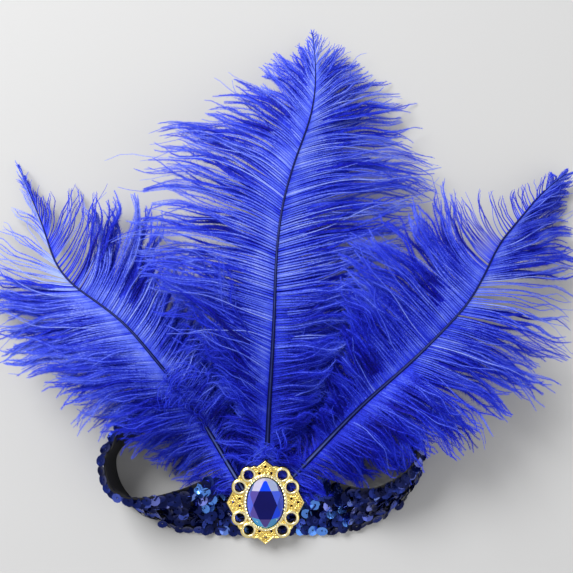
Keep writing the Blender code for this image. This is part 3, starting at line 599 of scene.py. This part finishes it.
CENTRE_LEFT_CURLS = table(
    Barb, (-0.08, 0.30, 72, 44, 0), (0.04, 0.44, 58, 14, 4), (0.14, 0.60, 54, -12, 6),
    (0.26, 0.74, 64, -10, 2), (0.32, 0.76, 72, 0, 0),
)
CENTRE_RIGHT_CURLS = table(
    Barb, (-0.12, 0.24, 64, 60, 2), (0.02, 0.34, 74, 30, 2), (0.14, 0.46, 74, -14, 1),
    (0.26, 0.62, 70, -36, -1), (0.34, 0.70, 68, -40, -3),
)
RIGHT_CURLS = table(
    Barb, (-0.12, 0.28, 64, 60, 2), (0.02, 0.50, 74, 50, 2), (0.14, 0.72, 78, 30, 2),
    (0.26, 0.84, 76, 0, 2), (0.34, 0.86, 74, -16, 2),
)
RIGHT_FAN = table(
    Barb, (-0.16, 0.28, 68, 16, 2), (-0.06, 0.46, 78, 22, 4), (0.05, 0.62, 85, 26, 6),
    (0.16, 0.68, 84, 26, 8), (0.30, 0.70, 82, 26, 6),
)
LEFT_TUFT = table(
    Barb, (-0.12, 0.17, 80, 20, -2), (-0.06, 0.30, 68, 20, -2), (0.00, 0.42, 54, 22, -3),
    (0.10, 0.50, 44, 30, -4), (0.22, 0.54, 60, 40, -4),
)
RIGHT_TUFT = table(
    Barb, (-0.12, 0.17, 80, 20, -2), (-0.06, 0.30, 66, 20, -2), (0.00, 0.42, 52, 22, -3),
    (0.10, 0.50, 42, 30, -4), (0.22, 0.54, 60, 40, -4),
)
# Curls that cross a quill: the left one a little way up, and the centre one at its foot
LEFT_QUILL_CURLS = table(
    Barb, (0.03, 0.20, 20, 80, 6), (0.12, 0.26, 16, 90, 6), (0.20, 0.24, 20, 80, 6),
)
CENTRE_QUILL_CURLS = table(
    Barb, (-0.13, 0.20, 16, 90, 8), (-0.09, 0.18, -4, 110, 8), (-0.05, 0.14, 0, 100, 8),
)
# What grows on each plume's foot, on which side
Growth = namedtuple("Growth", "side rows layer")
DOWN = {
    "plume_left": (
        Growth(-1, LEFT_FAN, FAN), Growth(1, LEFT_CURLS, CURLS),
        Growth(-1, LEFT_QUILL_CURLS, COVER), Growth(1, LEFT_QUILL_CURLS, COVER),
    ),
    "plume_centre": (
        Growth(-1, CENTRE_LEFT_CURLS, CURLS), Growth(1, CENTRE_RIGHT_CURLS, CURLS),
        Growth(-1, LEFT_TUFT, TUFT), Growth(1, RIGHT_TUFT, TUFT),
        Growth(-1, CENTRE_QUILL_CURLS, COVER), Growth(1, CENTRE_QUILL_CURLS, COVER),
    ),
    "plume_right": (Growth(-1, RIGHT_CURLS, CURLS), Growth(1, RIGHT_FAN, FAN)),
}


def make_down(plume, path, seed, feather):
    """The down at a plume's foot."""
    rng = np.random.default_rng(seed)
    layers = []
    for growth in DOWN[plume.name]:
        rows = growth.rows
        layer = growth.layer._replace(first=rows[0].station, last=rows[-1].station)
        layers.append(layer_mesh(plume, path, rows, growth.side, layer, rng))
    feather_piece(plume.name + "_down", layers, feather)


SHAFT_RINGS = 90
SHAFT_SIDES = 16
SHAFT_FLATNESS = 0.9
SHAFT_SLIMNESS = 0.62
QUILL_FULLNESS = 0.46
# Tone of the highlight painted along the shaft's top
CREST_HIGHLIGHT_TONE = 0.55


def make_shaft(plume, path, quill):
    """The quill and shaft as a tapering tube, a little flatter than round, with a highlight painted along
    its top.
    """
    stations, places, _, _ = path
    picked = np.linspace(0, len(stations) - 1, SHAFT_RINGS).round().astype(int)
    places, at = places[picked], stations[picked]
    radius = (QUILL_DIAMETER + (SHAFT_TIP_DIAMETER - QUILL_DIAMETER) * at) / 2
    radius = radius * (SHAFT_SLIMNESS + QUILL_FULLNESS * (1 - ease(0.10, 0.60, at)))
    radius = radius * (1 - 0.55 * ease(0.75, 1.0, at))
    along = unit(np.gradient(places, axis=0))
    aside = unit(np.cross(along, UP))
    up = np.cross(aside, along) * SHAFT_FLATNESS
    turn = np.linspace(0, 2 * math.pi, SHAFT_SIDES, endpoint=False)
    ring = aside[:, None] * np.cos(turn)[:, None] + up[:, None] * np.sin(turn)[:, None]
    verts = (places[:, None] + ring * radius[:, None, None]).reshape(-1, 3)
    start = len(verts)
    verts = np.vstack((verts, places[0], places[-1] + along[-1] * 0.001))
    j = np.arange(SHAFT_SIDES)
    k = (j + 1) % SHAFT_SIDES
    last = start - SHAFT_SIDES
    faces = np.vstack((
        tube_faces(SHAFT_RINGS, SHAFT_SIDES),
        np.stack((k, j, np.full(SHAFT_SIDES, start)), 1),
        np.stack((last + j, last + k, np.full(SHAFT_SIDES, start + 1)), 1),
    ))
    # Painted highlight: a light line along the tube's top side, stronger on the side quills near their
    # feet, fading up the shaft
    painted_highlight = plume.sheen * (1 - ease(0.05, 0.30, at)) + CREST_HIGHLIGHT_TONE * (1 - ease(0.40, 0.80, at))
    crest_highlight = np.clip(np.sin(turn), 0, 1)**8
    plain = 0.05 + 0.30 * ease(0.30, 0.80, at)
    tones = plain[:, None] + painted_highlight[:, None] * crest_highlight
    tones = np.append(tones.ravel(), (0.3, 0.3))
    piece = mesh_piece(plume.name + "_shaft", verts, faces, quill, tones)
    return piece


def make_plumes():
    feather = toned_material("blue_feather", FEATHER_STOPS, 90.0, 0.5, roughness=0.60, specular=0.12)
    quill = toned_material("blue_quill", QUILL_STOPS, 260.0, 0.2, roughness=0.42, specular=0.12)
    for number, plume in enumerate(PLUMES):
        path = shaft_path(plume)
        shaft = make_shaft(plume, path, quill)
        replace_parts(shaft, plume.name)
        make_side(plume, path, plume.left, -1, 10 * number + 1, feather)
        make_side(plume, path, plume.right, 1, 10 * number + 2, feather)
        make_down(plume, path, 10 * number + 3, feather)


# Head loop


def loop_outline():
    """The loop's foot, closed: x, y, bearing and the run along it.

    Quarters of ellipses, flatter at the back, with a straight stretch between them at both ends.
    """
    reach = (LOOP_WIDTH - FRONT_FLAT) / 2
    middle = FRONT_DEPTH - BROOCH_ABOVE_EDGE
    curve = np.linspace(0, math.pi / 2, 120, endpoint=False)
    flat = np.linspace(-FRONT_FLAT / 2, FRONT_FLAT / 2, 60, endpoint=False)
    x, y, bearing = [], [], []
    for quarter in range(4):
        start = quarter * math.pi / 2
        depth = FRONT_DEPTH if quarter in (0, 3) else BACK_DEPTH
        hand = 1 if quarter < 2 else -1
        if quarter in (0, 2):
            x.append(hand * flat)
            y.append(np.full(flat.size, middle - depth * math.cos(start)))
            bearing.append(np.full(flat.size, 90.0 * quarter))
        x.append(hand * FRONT_FLAT / 2 + reach * np.sin(curve + start))
        y.append(middle - depth * np.cos(curve + start))
        bearing.append(np.degrees(curve + start))
    x, y, bearing = (np.concatenate(part) for part in (x, y, bearing))
    x, y, bearing = np.append(x, x[0]), np.append(y, y[0]), np.append(bearing, 360.0)
    run = np.concatenate(((0,), np.cumsum(np.hypot(np.diff(x), np.diff(y)))))
    return x, y, bearing, run


def loop_wall(points):
    """Foot, way along, way up the wall and way out of it, evenly once round the loop."""
    x, y, bearing, run = loop_outline()
    at = np.arange(points) / points * run[-1]
    foot = np.stack((np.interp(at, run, x), np.interp(at, run, y), np.zeros(points)), 1)
    along = unit(np.roll(foot, -1, 0) - np.roll(foot, 1, 0))
    inward = np.stack((-along[:, 1], along[:, 0], np.zeros(points)), 1)
    lean = spline(WALL_LEAN, "degrees", np.interp(at, run, bearing))
    lean = np.radians(lean)[:, None]
    across = inward * np.sin(lean) + UP * np.cos(lean)
    outward = UP * np.sin(lean) - inward * np.cos(lean)
    foot = foot + UP * np.maximum(0, -np.sin(lean)) * BAND_THICKNESS
    return foot, along, across, outward


BAND_STEPS = 240
RIBS = 13
RIB_DEPTH = 0.00024
EDGE_ROUNDING = 0.0005


def make_band(elastic):
    """The knitted elastic loop with ribs along it on both faces and rounded edges."""
    foot, _, across, outward = loop_wall(BAND_STEPS)
    share = np.linspace(0, 1, 2 * RIBS + 1)
    groove = RIB_DEPTH * (0.5 + 0.5 * np.cos(2 * math.pi * RIBS * share))
    groove[[0, -1]] = EDGE_ROUNDING
    up = np.concatenate((share, share[::-1])) * BAND_WIDTH
    out = np.concatenate((groove, BAND_THICKNESS - groove[::-1]))
    verts = foot[:, None] + across[:, None] * up[:, None] + outward[:, None] * out[:, None]
    faces = tube_faces(BAND_STEPS, len(up), closed=True)
    # Painted shade: darker in the grooves between the ribs and darkest on the rounded edges
    groove_shade = np.concatenate((groove, groove[::-1]))
    tones = np.tile(0.75 - groove_shade / RIB_DEPTH * 0.5, BAND_STEPS)
    piece = mesh_piece("elastic_loop", verts.reshape(-1, 3), faces, elastic, tones)
    return piece


# Sequins painted sky-blue as those catching the light: where they lie, in metres from the working origin
SEQUINS_PAINTED_LIT = (
    (-0.0087, -0.0195), (0.0176, -0.0175), (0.0245, -0.0150), (0.0270, -0.0185),
    (0.0386, -0.0110), (0.0375, -0.0046), (-0.0320, 0.0005), (-0.0280, -0.0040),
    (-0.0580, 0.0430), (0.0330, -0.0070), (-0.0230, -0.0010), (0.0215, -0.0090),
    (-0.0345, 0.0035), (-0.0300, 0.0040), (-0.0262, 0.0008), (-0.0315, -0.0038),
    (-0.0250, 0.0045), (0.0205, -0.0010), (0.0240, -0.0045), (0.0190, -0.0060),
)
SEQUIN_ROWS = 7
SEQUINS_PER_ROW = 96
SEQUIN_SIDES = 10
SEQUIN_RADIUS = 0.0030
SEQUIN_GAUGE = 0.00012
FLOOR_TOUCH = 0.0003
EDGE_LEAN = 1.5
# Share of the sequins lightened with painted glints
PAINTED_GLINT_SHARE = 0.12
WALL_STEPS = 1920

# Rings of a sequin, from the hole's rim outwards on its face and back on its other side:
# their share of its radius, and their height
RING_SHARES = np.array((0.16, 0.46, 1.0, 1.0, 0.46, 0.16))
RING_CUP = np.array((0.0, 0.00003, 0.00042, 0.00042, 0.00003, 0.0))
RING_HEIGHTS = RING_CUP + np.array((1, 1, 1, 0, 0, 0)) * SEQUIN_GAUGE
RINGS = len(RING_SHARES)


def sequin_places(rng):
    """Where each sequin lies, the way it faces, and two directions across it."""
    count = SEQUIN_ROWS * SEQUINS_PER_ROW
    row = np.repeat(np.arange(SEQUIN_ROWS), SEQUINS_PER_ROW)
    order = np.tile(np.arange(SEQUINS_PER_ROW), SEQUIN_ROWS)
    at = (order + 0.5 * (row % 2) + rng.uniform(-0.32, 0.32, count)) / SEQUINS_PER_ROW
    spot = np.floor(at * WALL_STEPS).astype(int) % WALL_STEPS
    foot, along, across, outward = (part[spot] for part in loop_wall(WALL_STEPS))
    height = row / (SEQUIN_ROWS - 1)
    rise = 0.0020 + 0.0262 * height + rng.normal(0, 0.0006, count)
    lift = BAND_THICKNESS + CLEARANCE + rng.uniform(0.0004, 0.0011, count)
    middle = foot + across * rise[:, None] + outward * lift[:, None]
    tilt = rng.normal((0.14, -0.10), (0.28, 0.26), (count, 2))
    upright = 1 - np.clip(outward[:, 2], 0, 1)
    tilt[:, 1] += EDGE_LEAN * upright * ease(0.40, 1.0, height)
    face = unit(outward + along * tilt[:, :1] + across * tilt[:, 1:])
    first = unit(np.cross(face, across))
    return middle, face, first, np.cross(face, first)


def sequin_maps(spin, count):
    """Map places of every sequin, each in a cell of its own, its two faces side by side."""
    side = math.ceil(math.sqrt(count))
    cell = np.stack((np.arange(count) % side, np.arange(count) // side), 1) / side
    disc = np.stack((np.cos(spin), np.sin(spin)), 2)[:, None] * RING_SHARES[:, None, None]
    shift = np.repeat((0.25, 0.75), RINGS // 2)[:, None, None] * (1, 0) + (0, 0.5)
    return (cell[:, None, None] + (disc * (0.22, 0.45) + shift) / side).reshape(-1, 2)


def make_sequins(shiny):
    """Cupped round sequins with a hole, sewn in staggered rows that overlap."""
    rng = np.random.default_rng(71)
    middle, face, first, second = sequin_places(rng)
    count = len(middle)
    size = rng.uniform(0.86, 1.02, count)[:, None, None, None]
    corner = np.arange(SEQUIN_SIDES) * 2 * math.pi / SEQUIN_SIDES
    spin = rng.uniform(0, 2 * math.pi, (count, 1)) + corner
    ring = first[:, None] * np.cos(spin)[:, :, None] + second[:, None] * np.sin(spin)[:, :, None]
    verts = middle[:, None, None] + size * (
        ring[:, None] * (RING_SHARES * SEQUIN_RADIUS)[:, None, None]
        + face[:, None, None] * RING_HEIGHTS[:, None, None]
    )
    sunk = FLOOR_TOUCH - verts[..., 2].reshape(count, -1).min(1)
    verts[..., 2] += np.maximum(sunk, 0)[:, None, None]
    one = tube_faces(RINGS, SEQUIN_SIDES, closed=True)[:, ::-1]
    faces = (one + (np.arange(count) * RINGS * SEQUIN_SIDES)[:, None, None]).reshape(-1, 3)

    # Painted glints: a share of the sequins get light lavender tones, as light catching their rims
    painted_glint = rng.random(count) < PAINTED_GLINT_SHARE
    tone = np.where(painted_glint, rng.uniform(0.60, 0.92, count), 0.62 * rng.beta(1.1, 2.2, count))
    # Painted highlight: the sequin nearest each of these places takes the lightest, sky-blue tone
    for x, y in SEQUINS_PAINTED_LIT:
        away = np.hypot(middle[:, 0] - x, middle[:, 1] - y) - middle[:, 2] * 0.02
        tone[np.argmin(away)] = 1.0
    piece = mesh_piece("sequins", verts.reshape(-1, 3), faces, shiny,
                       np.repeat(tone, RINGS * SEQUIN_SIDES), sequin_maps(spin, count), smooth=False)
    return piece


# Brooch


# A raised bead of the setting: the height it stands on, its own height, how far its middle
# lies from what it follows, and its half width
Bead = namedtuple("Bead", "base height middle half")
GRAIN = Bead(0.00125, 0.00075, 0.0, 0.00062)
WIRE = Bead(0.00140, 0.00078, 0.00052, 0.00056)
EYELET_BEAD = Bead(0.00145, 0.00105, 0.00072, 0.00078)
COLLAR = Bead(0.00140, 0.00050, 0.00098, 0.00036)
BEZEL = Bead(0.0017, 0.0011, 0.00078, 0.00052)
BEZEL_BORDER = Bead(0.0016, 0.00095, 0.00160, 0.00042)
BEZEL_REACH = 0.0020
BEZEL_TURNS = 46
SEAT_EDGE = 0.00026
SETTING_EDGE = 0.00165
GRAIN_STEP = (0.00112, 0.00097)
GRID_PITCH = 0.00027
GRID = (162, 178)


def both_ways(places):
    """Places mirrored across both axes, each once."""
    return np.array(sorted({(sx * x, sy * y) for x, y in places for sx in (-1, 1) for sy in (-1, 1)}))


EYELETS = both_ways((END_EYELET, SIDE_EYELET))
PIERCINGS = both_ways(END_PIERCINGS + SIDE_PIERCINGS)


def nearest(x, y, places):
    """Distance from every point to the nearest of some places."""
    found = np.full(x.shape, 1.0)
    for px, py in places:
        found = np.minimum(found, np.hypot(x - px, y - py))
    return found


def inside_outline(x, y):
    """How far a point lies inside the setting's outline: oval, eyelets and four points."""
    away = np.hypot(x, y)
    c = np.where(away < 1e-9, 1.0, x / np.maximum(away, 1e-6))
    s = y / np.maximum(away, 1e-6)
    half_width, half_height = SETTING_OVAL_WIDTH / 2, SETTING_OVAL_HEIGHT / 2
    reach = half_width * half_height / np.hypot(half_height * c, half_width * s)
    bulges = [(*place, EYELET_HOLE / 2 + EYELET_RIM) for place in EYELETS]
    bulges += [(*place, SHOULDER_RADIUS) for place in both_ways(SHOULDERS)]
    for bx, by, radius in bulges:
        along, aside = bx * c + by * s, bx * s - by * c
        bulge = along + np.sqrt(np.maximum(radius**2 - aside**2, 0))
        facing = (along > 0) & (np.abs(aside) < radius)
        reach = np.where(facing, np.maximum(reach, bulge), reach)
    side_point = SIDE_POINT_REACH / (np.abs(c) + SIDE_POINT_STEEPNESS * np.abs(s))
    beside = side_point * np.abs(s) < SIDE_EYELET[1]
    reach = np.where(beside, np.maximum(reach, side_point), reach)
    end_point = END_POINT_REACH / (np.abs(s) + END_POINT_STEEPNESS * np.abs(c))
    beside = end_point * np.abs(c) < END_EYELET[0]
    reach = np.where(beside, np.maximum(reach, end_point), reach)
    return reach - away


def inside_metal(x, y):
    """How far a point lies inside the metal, off the outline, the eyelets and the piercings."""
    depth = np.minimum(inside_outline(x, y), nearest(x, y, EYELETS) - EYELET_HOLE / 2)
    return np.minimum(depth, nearest(x, y, PIERCINGS) - PIERCING / 2)


def beaded(bead, distance, share=1.0):
    """Height of a round bead at a distance from what it follows."""
    profile = np.sqrt(np.clip(1 - ((distance - bead.middle) / bead.half)**2, 0, 1))
    return bead.base + bead.height * profile * share


def setting_relief(x, y, grains):
    """Height of the setting's face: rims, wire, grains and the bezel round the stone."""
    height = np.maximum.reduce((
        beaded(GRAIN, nearest(x, y, grains)),
        beaded(WIRE, inside_outline(x, y)),
        beaded(EYELET_BEAD, nearest(x, y, EYELETS) - EYELET_HOLE / 2),
        beaded(COLLAR, nearest(x, y, PIERCINGS)),
    ))
    turn = np.arctan2(y / STONE_LENGTH, x / STONE_WIDTH)
    oval = np.hypot(x / (STONE_WIDTH / 2), y / (STONE_LENGTH / 2))
    away = np.hypot(x, y) * (1 - 1 / np.maximum(oval, 0.01))
    bezel = beaded(BEZEL, away, 0.72 + 0.28 * np.cos(BEZEL_TURNS * turn))
    bezel = np.maximum(bezel, beaded(BEZEL_BORDER, away))
    height = np.where(away < BEZEL_REACH, bezel, height)
    return np.where(away < SEAT_EDGE, SETTING_THICKNESS - STONE_SEAT_DEPTH, height)


def setting_grid():
    """A fine grid over the setting, whose outer points are pulled onto its outline and holes.

    Returns its points, which cells are metal, which points those use, and which are outer.
    """
    nx, ny = GRID
    x, y = ((np.arange(n) - (n - 1) / 2) * GRID_PITCH for n in GRID)
    x, y = np.meshgrid(x, y)
    half = GRID_PITCH / 2
    metal = inside_metal(x[:-1, :-1] + half, y[:-1, :-1] + half) > 0
    around = np.zeros((ny, nx), int)
    for dy in (0, 1):
        for dx in (0, 1):
            around[dy:ny - 1 + dy, dx:nx - 1 + dx] += metal
    outer = (around > 0) & (around < 4)
    ex, ey = x[outer], y[outer]
    small = 0.00002
    for _ in range(6):
        depth = inside_metal(ex, ey)
        gx = (inside_metal(ex + small, ey) - inside_metal(ex - small, ey)) / (2 * small)
        gy = (inside_metal(ex, ey + small) - inside_metal(ex, ey - small)) / (2 * small)
        steep = np.maximum(gx**2 + gy**2, 0.5)
        ex = ex - np.clip(depth * gx / steep, -half, half)
        ey = ey - np.clip(depth * gy / steep, -half, half)
    x[outer], y[outer] = ex, ey
    return x, y, metal, around > 0, outer


def setting_grains():
    """Middles of the grains, in staggered rows with a little stray."""
    rng = np.random.default_rng(5)
    x, y = np.meshgrid(np.arange(-22, 23) * GRAIN_STEP[0], np.arange(-26, 27) * GRAIN_STEP[1])
    x = x + GRAIN_STEP[0] / 2 * (np.arange(len(x)) % 2)[:, None]
    grains = np.stack((x, y), 2).reshape(-1, 2) + rng.uniform(-0.0002, 0.0002, (x.size, 2))
    return grains[inside_outline(grains[:, 0], grains[:, 1]) > 0.0006]


def make_setting(gold):
    """The pierced gold setting: a face in relief, a flat back and walls along every edge."""
    x, y, metal, used, outer = setting_grid()
    number = np.cumsum(used.ravel()).reshape(used.shape) - 1
    px, py = x[used], y[used]
    n = len(px)
    height = setting_relief(px, py, setting_grains())
    height = np.where(outer[used], np.minimum(height, SETTING_EDGE), height)
    corners = number[:-1, :-1], number[:-1, 1:], number[1:, 1:], number[1:, :-1]
    a, b, c, d = (corner[metal] for corner in corners)
    faces = [np.stack((a, b, c), 1), np.stack((a, c, d), 1)]
    faces += [np.stack((a, c, b), 1) + n, np.stack((a, d, c), 1) + n]
    ny, nx = used.shape
    solid = np.pad(metal, 1)
    low_left, low_right, high_right, high_left = corners
    for starts, ends, dy, dx in (
        (low_left, low_right, -1, 0), (high_right, high_left, 1, 0),
        (high_left, low_left, 0, -1), (low_right, high_right, 0, 1),
    ):
        bare = metal & ~solid[1 + dy:ny + dy, 1 + dx:nx + dx]
        p, q = starts[bare], ends[bare]
        faces += [np.stack((p, p + n, q + n), 1), np.stack((p, q + n, q), 1)]
    face = np.stack((px, py, height), 1)
    back = np.stack((px, py, np.zeros(n)), 1)
    # The tone follows the relief's height: painted shade in the hollows and painted highlight on the tops
    # of the beads
    tones = np.clip((np.concatenate((height, np.full(n, 0.0017))) - 0.0013) / 0.0012, 0, 1)
    verts = on_brooch(np.vstack((face, back)))
    piece = mesh_piece("gold_setting", verts, np.concatenate(faces), gold, 0.15 + 0.85 * tones)
    return piece


# The stone's cuts: how many, turned how far, share of the half width at the table and girdle
Cut = namedtuple("Cut", "count turn table girdle")
CROWN = (Cut(6, 30, 0.57, 1.20), Cut(6, 0, 0.655, 0.985), Cut(12, 15, 0.80, 0.985))
GIRDLE_SHARE = 0.30
GIRDLE_SIDES = 48
TABLE_TONE = 0.04

# Painted reflections of the stone: the tone each facet shows in each direction, counted from its right
# side towards its top
Gleam = namedtuple("Gleam", "turn inner outer")
PAINTED_REFLECTIONS = table(
    Gleam, (0, 0.34, 0.40), (30, 0.38, 0.46), (60, 0.84, 0.86), (90, 0.20, 0.88), (120, 0.92, 0.92),
    (150, 0.56, 0.46), (180, 0.50, 0.44), (210, 0.56, 0.40), (240, 0.40, 0.72), (270, 0.58, 0.74),
    (300, 0.32, 0.70), (330, 0.26, 0.34), (360, 0.34, 0.40),
)
# Colours of the stone's painted reflections, from its dark table through blues and mauve to white glints
STONE_STOPS = table(
    Stop, (0.00, (0.001, 0.001, 0.050)), (0.10, (0.003, 0.004, 0.140)), (0.20, (0.002, 0.045, 0.880)),
    (0.34, (0.030, 0.085, 0.760)), (0.46, (0.090, 0.125, 0.640)), (0.58, (0.080, 0.050, 0.240)),
    (0.74, (0.060, 0.400, 0.800)), (0.90, (0.400, 0.380, 0.540)), (1.00, (0.680, 0.660, 0.780)),
)


def stone_facets():
    """Faces of a round blank of unit half width, cut by the planes of the crown."""
    bm = bmesh.new()
    bmesh.ops.create_cone(bm, cap_ends=True, segments=GIRDLE_SIDES, radius1=1.0, radius2=1.0,
                          depth=1.0, matrix=Matrix.Translation((0, 0, 0.5)))
    for cut in CROWN:
        for i in range(cut.count):
            turn = math.radians(cut.turn + 360 * i / cut.count)
            out = Vector((math.cos(turn), math.sin(turn), 0))
            normal = (out * (1 - GIRDLE_SHARE) + Vector((0, 0, cut.girdle - cut.table))).normalized()
            geometry = bm.verts[:] + bm.edges[:] + bm.faces[:]
            sliced = bmesh.ops.bisect_plane(bm, geom=geometry, plane_no=normal, dist=4e-6,
                                            plane_co=out * cut.table + Vector((0, 0, 1)),
                                            clear_outer=True)
            edges = [e for e in sliced["geom_cut"] if isinstance(e, bmesh.types.BMEdge)]
            bmesh.ops.contextual_create(bm, geom=edges)
    bmesh.ops.recalc_face_normals(bm, faces=bm.faces)
    facets = [(face.normal.z > 0.99, face.calc_center_median(), [tuple(v.co) for v in face.verts])
              for face in bm.faces]
    bm.free()
    return facets


def make_stone(crystal):
    """The cut stone, stretched to its oval, each facet in one tone painted as the reflection it shows."""
    verts, faces, tones = [], [], []
    for is_table, middle, corners in stone_facets():
        turn = math.degrees(math.atan2(middle.y, middle.x)) % 360
        ring = "inner" if middle.xy.length < 0.80 else "outer"
        # Painted reflections: the table dark, the other facets by their direction and ring
        tone = TABLE_TONE if is_table else float(spline(PAINTED_REFLECTIONS, ring, np.array((turn,)))[0])
        start = len(verts)
        verts += corners
        tones += [tone] * len(corners)
        faces += [(start, corner, corner + 1) for corner in range(start + 1, len(verts) - 1)]
    seat = SETTING_THICKNESS - STONE_SEAT_DEPTH + CLEARANCE
    local = np.array(verts) * (STONE_WIDTH / 2, STONE_LENGTH / 2, STONE_HEIGHT) + (0, 0, seat)
    piece = mesh_piece("cut_stone", on_brooch(local), np.array(faces), crystal, np.array(tones),
                       smooth=False)
    return piece


def make_loop_and_brooch():
    elastic = toned_material("black_elastic", ELASTIC_STOPS, 900.0, 0.5, roughness=0.85)
    shiny = toned_material("navy_sequin", SEQUIN_STOPS, 240.0, 0.12, roughness=0.17, metallic=0.80)
    gold = toned_material("gold", GOLD_STOPS, 400.0, 0.25, roughness=0.26, metallic=1.0)
    crystal = toned_material("blue_stone", STONE_STOPS, 160.0, 0.04, roughness=0.05, specular=0.18)
    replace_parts(make_band(elastic), "elastic_band")
    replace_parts(make_sequins(shiny), "sequin_trim")
    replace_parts(make_setting(gold), "brooch_setting")
    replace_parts(make_stone(crystal), "stone")


FLOOR_SIZE = 3.0
FLOOR_GREY = 0.50
SKY_STRENGTH = 0.56
Lamp = namedtuple("Lamp", "name place size power")
LAMPS = (Lamp("key", (-0.75, 0.75, 1.1), 0.8, 28.0), Lamp("fill", (0.9, -0.5, 1.0), 1.2, 3.0))
LOOK_AT = (0.0105, 0.1081, 0.0)
CAMERA_HEIGHT = 0.520
CAMERA_TILT = math.radians(8)
VIEW_WIDTH = 573 * 0.000525
SENSOR_WIDTH = 36


def make_stage():
    """A pale floor, soft light from the upper left, and the camera above the near side."""
    scene = bpy.context.scene
    bpy.ops.mesh.primitive_plane_add(size=FLOOR_SIZE, location=(0, 0, 0))
    floor = bpy.context.object
    floor.name = "floor"
    paint = bpy.data.materials.new("pale_floor")
    paint.use_nodes = True
    shader = paint.node_tree.nodes["Principled BSDF"]
    shader.inputs["Base Color"].default_value = (FLOOR_GREY, FLOOR_GREY, FLOOR_GREY, 1)
    shader.inputs["Roughness"].default_value = 0.85
    floor.data.materials.append(paint)
    world = bpy.data.worlds.new("studio")
    scene.world = world
    world.use_nodes = True
    sky = world.node_tree.nodes["Background"]
    sky.inputs["Color"].default_value = (1, 1, 1, 1)
    sky.inputs["Strength"].default_value = SKY_STRENGTH
    for lamp in LAMPS:
        light = bpy.data.lights.new(lamp.name, "AREA")
        light.energy = lamp.power
        light.size = lamp.size
        holder = bpy.data.objects.new(lamp.name, light)
        scene.collection.objects.link(holder)
        holder.location = lamp.place
        holder.rotation_euler = (-Vector(lamp.place)).to_track_quat("-Z", "Y").to_euler()
    look_at = Vector(LOOK_AT) + Vector(ORIGIN)
    camera = bpy.data.cameras.new("camera")
    camera.sensor_width = SENSOR_WIDTH
    camera.lens = SENSOR_WIDTH * (CAMERA_HEIGHT / math.cos(CAMERA_TILT)) / VIEW_WIDTH
    eye = bpy.data.objects.new("camera", camera)
    scene.collection.objects.link(eye)
    eye.location = look_at + Vector((0, -CAMERA_HEIGHT * math.tan(CAMERA_TILT), CAMERA_HEIGHT))
    eye.rotation_euler = (look_at - eye.location).to_track_quat("-Z", "Y").to_euler()
    scene.camera = eye
    scene.view_settings.view_transform = "Standard"


make_plumes()
make_loop_and_brooch()
make_stage()
